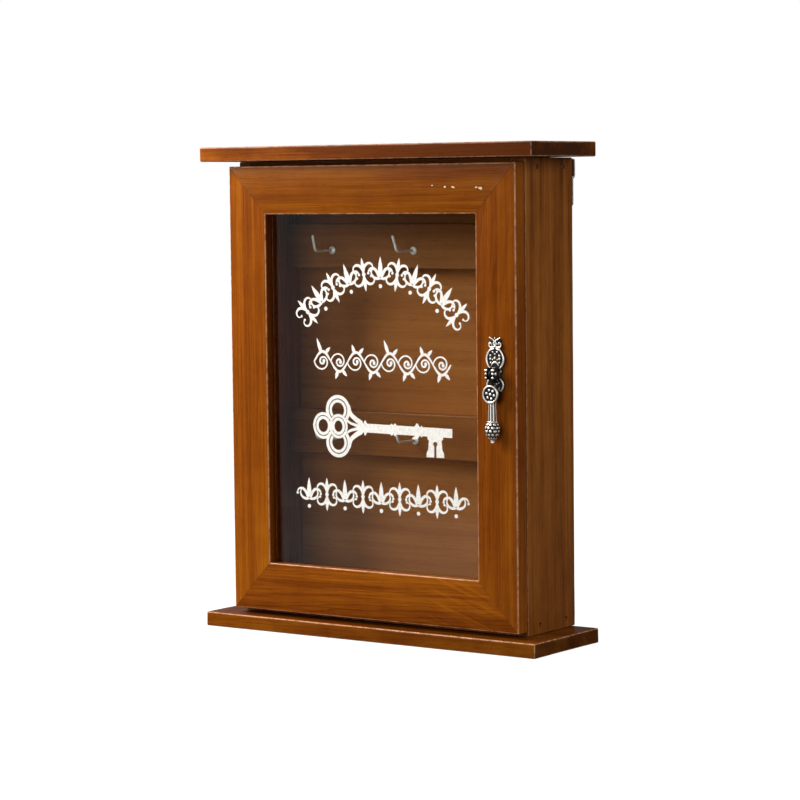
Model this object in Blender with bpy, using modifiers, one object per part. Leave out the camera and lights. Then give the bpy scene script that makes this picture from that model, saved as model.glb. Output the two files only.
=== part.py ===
"""Wall key cabinet: a small wooden case with a glazed, mitred door on butt hinges.

Units are metres.  +Z is up, the front faces -Y and +X is to the right, seen from the
front.  The origin is the centre of the bottom board's underside.
"""

import math

import bmesh
import bpy
from mathutils import Matrix, Vector

# --- Driving dimensions: case ---------------------------------------------------------
OVERALL_HEIGHT = 0.320
CASE_WIDTH = 0.2261
CASE_DEPTH = 0.0559
BOARD_THICKNESS = 0.0095
BOARD_SIDE_OVERHANG = 0.0177
BOARD_FRONT_OVERHANG = 0.0090
SIDE_THICKNESS = 0.0090
PANEL_THICKNESS = 0.0090
BACK_THICKNESS = 0.0030
BOARD_EDGE_ROUND = 0.0010
CASE_EDGE_ROUND = 0.0006

# --- Driving dimensions: door ---------------------------------------------------------
DOOR_THICKNESS = 0.0103
DOOR_STANDOFF = 0.0010
DOOR_CLEARANCE = 0.0031
STILE_WIDTH = 0.0300
DOOR_RAIL_WIDTH = 0.0320
DOOR_EDGE_ROUND = 0.0009
GLASS_SETBACK = 0.0065
GLASS_THICKNESS = 0.0020
RABBET_WIDTH = 0.0050
BEAD_DEPTH = 0.0026

# --- Driving dimensions: key rails and hooks ------------------------------------------
RAIL_THICKNESS = 0.0120
RAIL_HEIGHT = 0.0293
UPPER_RAIL_DROP = 0.0329
RAIL_PITCH = 0.1251
HOOK_PITCH = 0.0665
HOOK_RISE = 0.0118
HOOK_WIRE_RADIUS = 0.00095
HOOK_REACH = 0.0190
HOOK_BEND_RADIUS = 0.0026
HOOK_UPRIGHT = 0.0105
HOOK_LEAN = math.radians(12.0)
HOOK_THREAD = 0.0046
HOOK_COLLAR_RADIUS = 0.0027
HOOK_COLLAR_THICKNESS = 0.0012

# --- Driving dimensions: hinges and screws --------------------------------------------
HINGE_HEIGHT = 0.0250
HINGE_INSET = 0.0420
LEAF_WIDTH = 0.0066
LEAF_THICKNESS = 0.0008
KNUCKLE_RADIUS = 0.0018
HINGE_PIN_RADIUS = 0.0007
HINGE_SCREW_SPREAD = 0.0084
SCREW_HEAD_RADIUS = 0.0016
SCREW_SHANK_RADIUS = 0.0007
SCREW_LENGTH = 0.0065

# --- Driving dimensions: brads --------------------------------------------------------
BRAD_RADIUS = 0.0007
BRAD_HEAD_RADIUS = 0.0010
BRAD_LENGTH = 0.0200
BRAD_SET = 0.0010
BRAD_DROP = 0.0060
BRAD_FRONT_INSET = 0.0140
BRAD_BACK_INSET = 0.0110

# --- Driving dimensions: catch --------------------------------------------------------
MAGNET_RADIUS = 0.0030
MAGNET_LENGTH = 0.0060
MAGNET_PROUD = 0.0002
STRIKE_RADIUS = 0.0035
STRIKE_THICKNESS = 0.0010
STRIKE_PROUD = 0.0003

# --- Driving dimensions: drop handle --------------------------------------------------
PLATE_WIDTH = 0.0150
PLATE_HEIGHT = 0.0402
PLATE_THICKNESS = 0.0016
PLATE_ABOVE_POST = 0.0022
POST_ABOVE_CENTRE = 0.0160
POST_WIDTH = 0.0066
POST_HEIGHT = 0.0076
POST_EAR_GAP = 0.0034
POST_SHANK_RADIUS = 0.0016
POST_THREAD_BEYOND_NUT = 0.0006
NUT_ACROSS_FLATS = 0.0055
NUT_THICKNESS = 0.0020
PULL_PIN_RADIUS = 0.0007
PULL_EYE_RADIUS = 0.0024
PULL_EYE_WIDTH = 0.0026
PULL_STANDOFF = 0.0015
PULL_LENGTH = 0.0438
ROSETTE_DROP = 0.0127
ROSETTE_RADIUS = 0.0059
ROSETTE_BACK = 0.0006
ROSETTE_FRONT = 0.0024
STEM_RADIUS = 0.0028
BULB_RADIUS = 0.0052
BULB_LENGTH = 0.0136
PULL_FLATNESS = 0.80
PULL_SET_BACK = 0.0010

# --- Driving dimensions: wall hangers -------------------------------------------------
HANGER_WIDTH = 0.0086
HANGER_THICKNESS = 0.0010
HANGER_HEIGHT = 0.0300
HANGER_BELOW_BOARD = 0.0010
HANGER_STEP = 0.0022
HANGER_RAISED = 0.0110
HANGER_SLOT_WIDTH = 0.0045
HANGER_SLOT_HEIGHT = 0.0070
HANGER_SCREW_SPREAD = 0.0100

# --- Driving dimensions: key emblem on the glass --------------------------------------
EMBLEM_THICKNESS = 0.0002
EMBLEM_OFFSET_X = 0.0047
EMBLEM_OFFSET_Z = -0.0225
EMBLEM_LENGTH = 0.1110
BOW_RING_RADIUS = 0.0098
BOW_HOLE_RADIUS = 0.0045
SHAFT_HALF = 0.0032
BIT_WIDTH = 0.0146
BIT_DROP = 0.0170

# --- Clearances and resolution --------------------------------------------------------
FIT = 0.0003
OVERSHOOT = 0.0010
MERGE = 0.00001
ROUND_STEPS = 16
FINE_STEPS = 24

# --- Derived planes -------------------------------------------------------------------
BOARD_WIDTH = CASE_WIDTH + 2 * BOARD_SIDE_OVERHANG
BOARD_DEPTH = CASE_DEPTH + DOOR_STANDOFF + DOOR_THICKNESS + BOARD_FRONT_OVERHANG
REAR_Y = BOARD_DEPTH / 2
CASE_FRONT_Y = REAR_Y - CASE_DEPTH
DOOR_BACK_Y = CASE_FRONT_Y - DOOR_STANDOFF
DOOR_FRONT_Y = DOOR_BACK_Y - DOOR_THICKNESS
CASE_LOW_Z = BOARD_THICKNESS
CASE_HIGH_Z = OVERALL_HEIGHT - BOARD_THICKNESS
DOOR_LOW_Z = CASE_LOW_Z + DOOR_CLEARANCE
DOOR_HIGH_Z = CASE_HIGH_Z - DOOR_CLEARANCE
DOOR_MID_Z = (DOOR_LOW_Z + DOOR_HIGH_Z) / 2
HALF_CASE = CASE_WIDTH / 2
HALF_INSIDE = HALF_CASE - SIDE_THICKNESS
HALF_OPENING = HALF_CASE - STILE_WIDTH
OPENING_LOW_Z = DOOR_LOW_Z + DOOR_RAIL_WIDTH
OPENING_HIGH_Z = DOOR_HIGH_Z - DOOR_RAIL_WIDTH
BACK_FRONT_Y = REAR_Y - BACK_THICKNESS
RAIL_FRONT_Y = BACK_FRONT_Y - FIT - RAIL_THICKNESS
INSIDE_HIGH_Z = CASE_HIGH_Z - FIT - PANEL_THICKNESS
GLASS_FRONT_Y = DOOR_FRONT_Y + GLASS_SETBACK
GLASS_BACK_Y = GLASS_FRONT_Y + GLASS_THICKNESS
HINGE_X = -HALF_CASE - KNUCKLE_RADIUS - FIT
HINGE_Y = CASE_FRONT_Y - DOOR_STANDOFF / 2
HANDLE_X = HALF_CASE - STILE_WIDTH / 2
POST_Z = DOOR_MID_Z + POST_ABOVE_CENTRE
PLATE_BACK_Y = DOOR_FRONT_Y - FIT
PLATE_FRONT_Y = PLATE_BACK_Y - PLATE_THICKNESS
PULL_Y = PLATE_FRONT_Y - PULL_STANDOFF - PULL_EYE_RADIUS
POST_FRONT_Y = PULL_Y - PULL_EYE_RADIUS - FIT
CATCH_X = HALF_CASE - SIDE_THICKNESS / 2
CATCH_Z = DOOR_MID_Z


# --- Scene and materials --------------------------------------------------------------
def clear_scene():
    """Remove every object of the open scene."""
    for item in list(bpy.data.objects):
        bpy.data.objects.remove(item, do_unlink=True)


def new_collection(name):
    """Add a collection to the scene and return it."""
    collection = bpy.data.collections.new(name)
    bpy.context.scene.collection.children.link(collection)
    return collection


clear_scene()
PARTS = new_collection("key_cabinet")
CUTTERS = new_collection("cutters")


def paint(item, colour, roughness, metallic=0.0, alpha=1.0):
    """Give an object its own Principled material."""
    finish = bpy.data.materials.new(item.name + "_finish")
    finish.use_nodes = True
    shader = finish.node_tree.nodes["Principled BSDF"]
    shader.inputs["Base Color"].default_value = (*colour, 1.0)
    shader.inputs["Roughness"].default_value = roughness
    shader.inputs["Metallic"].default_value = metallic
    shader.inputs["Alpha"].default_value = alpha
    item.data.materials.clear()
    item.data.materials.append(finish)
    return item


def paint_wood(item):
    """Stained and varnished softwood."""
    return paint(item, (0.21, 0.050, 0.006), 0.42)


def paint_inner_wood(item):
    """The duller wood of the back and the key rails."""
    return paint(item, (0.16, 0.052, 0.014), 0.5)


def paint_steel(item):
    """Bright plated steel."""
    return paint(item, (0.62, 0.61, 0.58), 0.3, 1.0)


def paint_dark_steel(item):
    """Dull steel of brads and magnet."""
    return paint(item, (0.08, 0.07, 0.06), 0.55, 0.8)


def paint_bronze(item):
    """Aged bronze of the drop handle."""
    return paint(item, (0.16, 0.13, 0.10), 0.4, 1.0)


def paint_glass(item):
    """Clear pane."""
    return paint(item, (0.75, 0.80, 0.80), 0.03, 0.0, 0.25)


def paint_white(item):
    """White transfer film."""
    return paint(item, (0.90, 0.90, 0.88), 0.5)


# --- Mesh helpers ---------------------------------------------------------------------
def add_box(shape, low, high):
    """Add a box to a bmesh, between two corners."""
    low, high = Vector(low), Vector(high)
    size = high - low
    place = Matrix.Translation((low + high) / 2) @ Matrix.Diagonal((*size, 1.0))
    return bmesh.ops.create_cube(shape, size=1.0, matrix=place)["verts"]


def add_rod(shape, start, end, radius, end_radius=None, steps=ROUND_STEPS):
    """Add a capped cylinder or cone to a bmesh, from start to end."""
    start, end = Vector(start), Vector(end)
    run = end - start
    turn = Vector((0, 0, 1)).rotation_difference(run).to_matrix().to_4x4()
    place = Matrix.Translation((start + end) / 2) @ turn
    last = radius if end_radius is None else end_radius
    bmesh.ops.create_cone(shape, cap_ends=True, segments=steps, radius1=radius, radius2=last,
                          depth=run.length, matrix=place)


def place_mesh(name, shape, collection):
    """Turn a bmesh into a named object in a collection."""
    mesh = bpy.data.meshes.new(name)
    bmesh.ops.recalc_face_normals(shape, faces=shape.faces)
    shape.to_mesh(mesh)
    shape.free()
    item = bpy.data.objects.new(name, mesh)
    collection.objects.link(item)
    return item


def box(name, low, high, rounding=0.0):
    """A part that is one box, with its edges rounded by a Bevel modifier."""
    shape = bmesh.new()
    add_box(shape, low, high)
    item = place_mesh(name, shape, PARTS)
    if rounding > 0:
        bevel = item.modifiers.new("rounded_edges", "BEVEL")
        bevel.width = rounding
        bevel.segments = 2
        bevel.limit_method = "ANGLE"
    return item


def tool(name, boxes=(), rods=(), steps=ROUND_STEPS):
    """A hidden helper of boxes and rods that don't touch each other."""
    shape = bmesh.new()
    for low, high in boxes:
        add_box(shape, low, high)
    for rod in rods:
        add_rod(shape, *rod, steps=steps)
    item = place_mesh(name, shape, CUTTERS)
    item.hide_render = True
    item.display_type = "WIRE"
    return item


def combine(item, helper, operation):
    """Add a Boolean modifier that cuts or joins a helper."""
    step = item.modifiers.new(operation.lower() + "_" + helper.name, "BOOLEAN")
    step.object = helper
    step.operation = operation
    step.solver = "EXACT"
    return item


def cut(item, helper):
    """Cut a helper out of a part."""
    return combine(item, helper, "DIFFERENCE")


def join(item, helper):
    """Join a helper to a part."""
    return combine(item, helper, "UNION")


def soften(item, angle=40.0):
    """Shade a round piece smooth, with its corners kept sharp."""
    item.data.shade_smooth()
    item.data.set_sharp_from_angle(angle=math.radians(angle))
    return item


def turned(name, profile, collection, steps=ROUND_STEPS):
    """A turned shape: a profile of (radius, height) from top to bottom, spun about Z."""
    mesh = bpy.data.meshes.new(name)
    points = [(radius, 0.0, height) for radius, height in profile]
    edges = [(index, index + 1) for index in range(len(points) - 1)]
    mesh.from_pydata(points, edges, [])
    item = bpy.data.objects.new(name, mesh)
    collection.objects.link(item)
    spin = item.modifiers.new("turn", "SCREW")
    spin.steps = steps
    spin.render_steps = steps
    spin.use_merge_vertices = True
    spin.merge_threshold = MERGE
    return item


def baked(item):
    """Return an object's evaluated mesh with its loose caps welded, and remove the object."""
    bpy.context.view_layer.update()
    graph = bpy.context.evaluated_depsgraph_get()
    mesh = bpy.data.meshes.new_from_object(item.evaluated_get(graph))
    shape = bmesh.new()
    shape.from_mesh(mesh)
    bmesh.ops.remove_doubles(shape, verts=shape.verts, dist=MERGE)
    shape.to_mesh(mesh)
    shape.free()
    bpy.data.objects.remove(item, do_unlink=True)
    return mesh


def drop_tools(*helpers):
    """Remove helpers that a baked mesh no longer needs."""
    for helper in helpers:
        bpy.data.objects.remove(helper, do_unlink=True)


def placed(name, mesh, place):
    """A part that shares a mesh with its twins, at its own place."""
    item = bpy.data.objects.new(name, mesh.copy())
    PARTS.objects.link(item)
    item.matrix_world = place
    return item


def facing(position, direction):
    """The matrix that puts local +Z along a direction, at a position."""
    turn = Vector((0, 0, 1)).rotation_difference(Vector(direction)).to_matrix().to_4x4()
    return Matrix.Translation(position) @ turn


def screw_mesh():
    """A countersunk screw whose flat head lies at the origin and whose shank runs down."""
    profile = [(0.0, 0.0),
               (SCREW_HEAD_RADIUS, 0.0),
               (SCREW_SHANK_RADIUS, -LEAF_THICKNESS),
               (SCREW_SHANK_RADIUS, -SCREW_LENGTH * 0.8),
               (0.0, -SCREW_LENGTH)]
    return baked(turned("screw", profile, CUTTERS))


def screw_holes(name, heads, inward):
    """Helpers for screws: countersinks for the leaf and pilot holes for the wood."""
    inward = Vector(inward)
    sinks = []
    pilots = []
    for head in heads:
        face = Vector(head)
        sinks.append((face - inward * FIT, face + inward * (LEAF_THICKNESS + FIT),
                      SCREW_HEAD_RADIUS + 2 * FIT, SCREW_SHANK_RADIUS + FIT))
        pilots.append((face, face + inward * (SCREW_LENGTH + FIT), SCREW_SHANK_RADIUS + FIT))
    return tool(name + "_sinks", rods=sinks), tool(name + "_pilots", rods=pilots)


# --- Case -----------------------------------------------------------------------------
def hinge_heights():
    """The middle heights of the upper and the lower hinge."""
    return {"upper": DOOR_HIGH_Z - HINGE_INSET, "lower": DOOR_LOW_Z + HINGE_INSET}


def hinge_screw_heights(middle):
    """The heights of a leaf's two screws."""
    return (middle - HINGE_SCREW_SPREAD, middle + HINGE_SCREW_SPREAD)


def brad_places():
    """Name, head position and direction of each brad."""
    heights = {"top": CASE_HIGH_Z - BRAD_DROP, "bottom": CASE_LOW_Z + BRAD_DROP}
    depths = {"front": CASE_FRONT_Y + BRAD_FRONT_INSET, "back": REAR_Y - BRAD_BACK_INSET}
    places = []
    for side, sign in (("left", -1), ("right", 1)):
        for level, height in heights.items():
            for where, depth in depths.items():
                head = Vector((sign * (HALF_CASE - BRAD_SET), depth, height))
                places.append((f"{side}_{level}_{where}_brad", side, head, Vector((-sign, 0, 0))))
    return places


def build_boards():
    """Top and bottom boards, which stand out past the case and the door."""
    for name, low_z in (("bottom_board", 0.0), ("top_board", CASE_HIGH_Z)):
        low = (-BOARD_WIDTH / 2, -BOARD_DEPTH / 2, low_z)
        high = (BOARD_WIDTH / 2, BOARD_DEPTH / 2, low_z + BOARD_THICKNESS)
        paint_wood(box(name, low, high, BOARD_EDGE_ROUND))


def brad_hole_rods(side):
    """Rods that clear the brads of one side, head and shank in one bore."""
    rods = []
    for _, owner, head, inward in brad_places():
        if owner == side:
            start = head - inward * (BRAD_SET + OVERSHOOT)
            rods.append((start, head + inward * (BRAD_LENGTH + FIT), BRAD_HEAD_RADIUS + FIT))
    return rods


def build_sides():
    """Side panels with brad holes, hinge recesses, a magnet pocket and hanger pilots."""
    for name, sign in (("left", -1), ("right", 1)):
        outer, inner = sign * HALF_CASE, sign * HALF_INSIDE
        low = (min(outer, inner), CASE_FRONT_Y, CASE_LOW_Z + FIT)
        high = (max(outer, inner), REAR_Y, CASE_HIGH_Z - FIT)
        item = paint_wood(box(name + "_side", low, high, CASE_EDGE_ROUND))
        cut(item, tool(name + "_side_brad_holes", rods=brad_hole_rods(name)))
        cut(item, hanger_holes(name, sign)[1])
        if name == "left":
            cut_hinge_seats(item, "case", CASE_FRONT_Y, 1)
        else:
            pocket = ((CATCH_X, CASE_FRONT_Y - OVERSHOOT, CATCH_Z),
                      (CATCH_X, CASE_FRONT_Y + MAGNET_LENGTH + FIT, CATCH_Z),
                      MAGNET_RADIUS + FIT)
            cut(item, tool("magnet_pocket", rods=[pocket]))


def build_panels():
    """Horizontal panels between the sides, under the top board and on the bottom board."""
    levels = {"case_bottom_panel": CASE_LOW_Z + FIT,
              "case_top_panel": CASE_HIGH_Z - FIT - PANEL_THICKNESS}
    for name, low_z in levels.items():
        low = (-HALF_INSIDE + FIT, CASE_FRONT_Y, low_z)
        high = (HALF_INSIDE - FIT, BACK_FRONT_Y - FIT, low_z + PANEL_THICKNESS)
        item = paint_wood(box(name, low, high, CASE_EDGE_ROUND))
        rods = [rod for side in ("left", "right") for rod in brad_hole_rods(side)]
        cut(item, tool(name + "_brad_holes", rods=rods))


def build_back():
    """Thin back panel between the sides, its rear face flush with the boards."""
    low = (-HALF_INSIDE + FIT, BACK_FRONT_Y, CASE_LOW_Z + FIT)
    high = (HALF_INSIDE - FIT, REAR_Y, CASE_HIGH_Z - FIT)
    paint_inner_wood(box("back_panel", low, high))


def build_brads():
    """Brads that pin the sides to the horizontal panels."""
    profile = [(0.0, 0.0),
               (BRAD_HEAD_RADIUS, 0.0),
               (BRAD_HEAD_RADIUS, -BRAD_HEAD_RADIUS),
               (BRAD_RADIUS, -1.4 * BRAD_HEAD_RADIUS),
               (BRAD_RADIUS, -BRAD_LENGTH + 2 * BRAD_RADIUS),
               (0.0, -BRAD_LENGTH)]
    mesh = baked(turned("brad", profile, CUTTERS, steps=12))
    for name, _, head, inward in brad_places():
        soften(paint_dark_steel(placed(name, mesh, facing(head, -inward))))


# --- Key rails and hooks --------------------------------------------------------------
def rail_levels():
    """The lower edge of each key rail."""
    upper = INSIDE_HIGH_Z - UPPER_RAIL_DROP - RAIL_HEIGHT
    return {"upper": upper, "lower": upper - RAIL_PITCH}


def hook_mesh():
    """A screw-in L hook: its collar seats at the origin and its wire runs out along -Y."""
    straight = HOOK_REACH - HOOK_BEND_RADIUS
    bend = math.pi / 2 - HOOK_LEAN
    path = [(0.0, HOOK_THREAD, 0.0), (0.0, 0.0, 0.0), (0.0, -straight, 0.0)]
    bend_steps = 6
    for index in range(1, bend_steps + 1):
        angle = bend * index / bend_steps
        path.append((0.0, -straight - HOOK_BEND_RADIUS * math.sin(angle),
                     HOOK_BEND_RADIUS * (1 - math.cos(angle))))
    rise = HOOK_UPRIGHT - path[-1][2]
    path.append((0.0, path[-1][1] - rise * math.tan(HOOK_LEAN), path[-1][2] + rise))
    curve = bpy.data.curves.new("hook_wire", "CURVE")
    curve.dimensions = "3D"
    curve.bevel_depth = HOOK_WIRE_RADIUS
    curve.bevel_resolution = 2
    curve.use_fill_caps = True
    spline = curve.splines.new("POLY")
    spline.points.add(len(path) - 1)
    for point, place in zip(spline.points, path):
        point.co = (*place, 1.0)
    wire = bpy.data.objects.new("hook_wire", curve)
    CUTTERS.objects.link(wire)
    hook = bpy.data.objects.new("hook", baked(wire))
    CUTTERS.objects.link(hook)
    collar_rod = ((0, 0, 0), (0, -HOOK_COLLAR_THICKNESS, 0), HOOK_COLLAR_RADIUS,
                  HOOK_WIRE_RADIUS * 1.5)
    collar = tool("hook_collar", rods=[collar_rod])
    mesh = baked(join(hook, collar))
    drop_tools(collar)
    return mesh


def build_rails_and_hooks():
    """Two wooden rails on the back panel, each with three screw-in hooks."""
    mesh = hook_mesh()
    for level, low_z in rail_levels().items():
        low = (-HALF_INSIDE + FIT, RAIL_FRONT_Y, low_z)
        high = (HALF_INSIDE - FIT, RAIL_FRONT_Y + RAIL_THICKNESS, low_z + RAIL_HEIGHT)
        rail = paint_inner_wood(box(level + "_key_rail", low, high, CASE_EDGE_ROUND))
        holes = []
        for index in range(3):
            across = (index - 1) * HOOK_PITCH
            seat = Vector((across, RAIL_FRONT_Y - FIT, low_z + HOOK_RISE))
            hook = placed(f"{level}_hook_{index + 1}", mesh, Matrix.Translation(seat))
            soften(paint_steel(hook))
            holes.append((seat - Vector((0, OVERSHOOT, 0)),
                          seat + Vector((0, HOOK_THREAD + FIT, 0)), HOOK_WIRE_RADIUS + FIT))
        cut(rail, tool(level + "_rail_holes", rods=holes))


# --- Door -----------------------------------------------------------------------------
def door_member(name, corners, long_edge_axis):
    """One mitred frame piece: a flat outline in X and Z, with its front arrises rounded."""
    shape = bmesh.new()
    front = [shape.verts.new((x, DOOR_FRONT_Y, z)) for x, z in corners]
    face = shape.faces.new(front)
    grown = bmesh.ops.extrude_face_region(shape, geom=[face])["geom"]
    moved = [part for part in grown if isinstance(part, bmesh.types.BMVert)]
    bmesh.ops.translate(shape, verts=moved, vec=(0, DOOR_THICKNESS, 0))
    arrises = [edge for edge in shape.edges if is_long(edge, long_edge_axis)]
    bmesh.ops.bevel(shape, geom=arrises, offset=DOOR_EDGE_ROUND, segments=2, profile=0.5,
                    affect="EDGES")
    return paint_wood(place_mesh(name, shape, PARTS))


def is_long(edge, axis):
    """Whether an edge runs along one axis only."""
    run = edge.verts[1].co - edge.verts[0].co
    others = [abs(run[index]) for index in range(3) if index != axis]
    return abs(run[axis]) > MERGE and max(others) < MERGE


def build_door_frame():
    """Two stiles and two rails, mitred at the corners and rebated for the glass."""
    slip = FIT / 2 * math.sqrt(2)
    rebate = tool("glass_rebate", boxes=[(
        (-HALF_OPENING - RABBET_WIDTH, GLASS_FRONT_Y - FIT, OPENING_LOW_Z - RABBET_WIDTH),
        (HALF_OPENING + RABBET_WIDTH, DOOR_BACK_Y + OVERSHOOT, OPENING_HIGH_Z + RABBET_WIDTH))])
    for name, outer, inner in (("door_top_rail", DOOR_HIGH_Z, OPENING_HIGH_Z),
                               ("door_bottom_rail", DOOR_LOW_Z, OPENING_LOW_Z)):
        corners = [(-HALF_CASE + slip, outer), (HALF_CASE - slip, outer),
                   (HALF_OPENING - slip, inner), (-HALF_OPENING + slip, inner)]
        cut(door_member(name, corners, 0), rebate)
    for name, sign in (("hinge_stile", -1), ("handle_stile", 1)):
        outer, inner = sign * HALF_CASE, sign * HALF_OPENING
        corners = [(outer, DOOR_LOW_Z + slip), (inner, OPENING_LOW_Z + slip),
                   (inner, OPENING_HIGH_Z - slip), (outer, DOOR_HIGH_Z - slip)]
        stile = cut(door_member(name, corners, 2), rebate)
        if name == "hinge_stile":
            cut_hinge_seats(stile, "door", DOOR_BACK_Y, -1)
        else:
            cut_handle_stile(stile)


def cut_handle_stile(stile):
    """Bore the stile for the handle's post and sink the catch's strike plate into it."""
    bore = ((HANDLE_X, DOOR_FRONT_Y - OVERSHOOT, POST_Z),
            (HANDLE_X, DOOR_BACK_Y + OVERSHOOT, POST_Z), POST_SHANK_RADIUS + FIT)
    seat = ((CATCH_X, DOOR_BACK_Y + STRIKE_PROUD - STRIKE_THICKNESS - FIT, CATCH_Z),
            (CATCH_X, DOOR_BACK_Y + OVERSHOOT, CATCH_Z), STRIKE_RADIUS + FIT)
    cut(stile, tool("handle_stile_bores", rods=[bore, seat]))


def build_glazing():
    """The pane and the four beads that hold it in the rebate."""
    reach = RABBET_WIDTH - FIT
    low = (-HALF_OPENING - reach, GLASS_FRONT_Y, OPENING_LOW_Z - reach)
    high = (HALF_OPENING + reach, GLASS_BACK_Y, OPENING_HIGH_Z + reach)
    paint_glass(box("glass_pane", low, high))
    near, far = GLASS_BACK_Y + FIT, GLASS_BACK_Y + FIT + BEAD_DEPTH
    out_x, out_low, out_high = HALF_OPENING + reach, OPENING_LOW_Z - reach, OPENING_HIGH_Z + reach
    beads = {
        "top_glazing_bead": ((-out_x, near, OPENING_HIGH_Z + FIT), (out_x, far, out_high)),
        "bottom_glazing_bead": ((-out_x, near, out_low), (out_x, far, OPENING_LOW_Z - FIT)),
        "left_glazing_bead": ((-out_x, near, OPENING_LOW_Z), (-HALF_OPENING - FIT, far,
                                                              OPENING_HIGH_Z)),
        "right_glazing_bead": ((HALF_OPENING + FIT, near, OPENING_LOW_Z), (out_x, far,
                                                                           OPENING_HIGH_Z)),
    }
    for name, (low, high) in beads.items():
        paint_wood(box(name, low, high))


# --- Hinges ---------------------------------------------------------------------------
def leaf_planes(side):
    """The Y range of a leaf: +1 is the case's leaf and -1 the door's."""
    near = HINGE_Y + side * FIT / 2
    far = near + side * LEAF_THICKNESS
    return near, far


def cut_hinge_seats(item, owner, wood_y, side):
    """Recess the wood for two hinge leaves and drill their pilot holes."""
    near, far = leaf_planes(side)
    seats = []
    for level, middle in hinge_heights().items():
        half = HINGE_HEIGHT / 2 + FIT
        ys = sorted((wood_y - side * OVERSHOOT, far + side * FIT))
        seats.append(((-HALF_CASE - OVERSHOOT, ys[0], middle - half),
                      (-HALF_CASE + LEAF_WIDTH + FIT, ys[1], middle + half)))
        heads = [(leaf_screw_x(), near, height) for height in hinge_screw_heights(middle)]
        sinks, pilots = screw_holes(f"{level}_{owner}_wood", heads, (0, side, 0))
        drop_tools(sinks)
        cut(item, pilots)
    cut(item, tool(owner + "_hinge_seats", boxes=seats))


def leaf_screw_x():
    """The line of a leaf's screws."""
    return -HALF_CASE + LEAF_WIDTH / 2 + FIT


def build_leaf(level, middle, owner, side, knuckles):
    """One hinge leaf: a plate, its tabs and barrels about the pin, and its screw holes."""
    near, far = leaf_planes(side)
    ys = sorted((near, far))
    half = HINGE_HEIGHT / 2
    name = f"{level}_hinge_{owner}_leaf"
    leaf = box(name, (-HALF_CASE, ys[0], middle - half),
               (-HALF_CASE + LEAF_WIDTH, ys[1], middle + half))
    tabs = [((HINGE_X, ys[0], low), (-HALF_CASE + FIT, ys[1], high)) for low, high in knuckles]
    barrels = [((HINGE_X, HINGE_Y, low), (HINGE_X, HINGE_Y, high), KNUCKLE_RADIUS)
               for low, high in knuckles]
    join(leaf, tool(name + "_tabs", boxes=tabs))
    join(leaf, tool(name + "_barrels", rods=barrels))
    bore = ((HINGE_X, HINGE_Y, middle - half - OVERSHOOT),
            (HINGE_X, HINGE_Y, middle + half + OVERSHOOT), HINGE_PIN_RADIUS + FIT)
    cut(leaf, tool(name + "_bore", rods=[bore], steps=FINE_STEPS))
    heads = [(leaf_screw_x(), near, height) for height in hinge_screw_heights(middle)]
    sinks, pilots = screw_holes(name, heads, (0, side, 0))
    drop_tools(pilots)
    cut(leaf, sinks)
    return paint_steel(leaf)


def build_hinges():
    """Two butt hinges with two outer knuckles on the case and one middle knuckle."""
    mesh = screw_mesh()
    for level, middle in hinge_heights().items():
        third = HINGE_HEIGHT / 3
        outer = [(middle - HINGE_HEIGHT / 2, middle - third / 2 - FIT / 2),
                 (middle + third / 2 + FIT / 2, middle + HINGE_HEIGHT / 2)]
        inner = [(middle - third / 2 + FIT / 2, middle + third / 2 - FIT / 2)]
        build_leaf(level, middle, "case", 1, outer)
        build_leaf(level, middle, "door", -1, inner)
        rod = ((HINGE_X, HINGE_Y, middle - HINGE_HEIGHT / 2),
               (HINGE_X, HINGE_Y, middle + HINGE_HEIGHT / 2), HINGE_PIN_RADIUS)
        shape = bmesh.new()
        add_rod(shape, *rod)
        soften(paint_steel(place_mesh(level + "_hinge_pin", shape, PARTS)))
        for owner, side in (("case", 1), ("door", -1)):
            near = leaf_planes(side)[0]
            for number, height in enumerate(hinge_screw_heights(middle), start=1):
                name = f"{level}_hinge_{owner}_screw_{number}"
                place = facing((leaf_screw_x(), near, height), (0, -side, 0))
                soften(paint_steel(placed(name, mesh, place)))


# --- Catch ----------------------------------------------------------------------------
def build_catch():
    """A magnet in the case's front edge and a steel strike plate in the door."""
    face = CASE_FRONT_Y - MAGNET_PROUD
    shape = bmesh.new()
    add_rod(shape, (CATCH_X, face, CATCH_Z), (CATCH_X, face + MAGNET_LENGTH, CATCH_Z),
            MAGNET_RADIUS, steps=FINE_STEPS)
    soften(paint_dark_steel(place_mesh("catch_magnet", shape, PARTS)))
    rear = DOOR_BACK_Y + STRIKE_PROUD
    shape = bmesh.new()
    add_rod(shape, (CATCH_X, rear - STRIKE_THICKNESS, CATCH_Z), (CATCH_X, rear, CATCH_Z),
            STRIKE_RADIUS, steps=FINE_STEPS)
    soften(paint_steel(place_mesh("catch_strike", shape, PARTS)))


# --- Drop handle ----------------------------------------------------------------------
def plate_outline():
    """The plate's outline: pointed ends, a full middle and two waists."""
    steps = 20
    right = []
    for index in range(1, steps):
        along = math.cos(math.pi * index / steps)
        swell = (1 - along * along) ** 0.6
        waist = 0.80 + 0.20 * math.cos(3 * math.pi * along)
        right.append((PLATE_WIDTH / 2 * swell * waist, PLATE_HEIGHT / 2 * along))
    left = [(-x, z) for x, z in reversed(right)]
    tip = PLATE_HEIGHT / 2
    return [(0.0, tip)] + right + [(0.0, -tip)] + left


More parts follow.
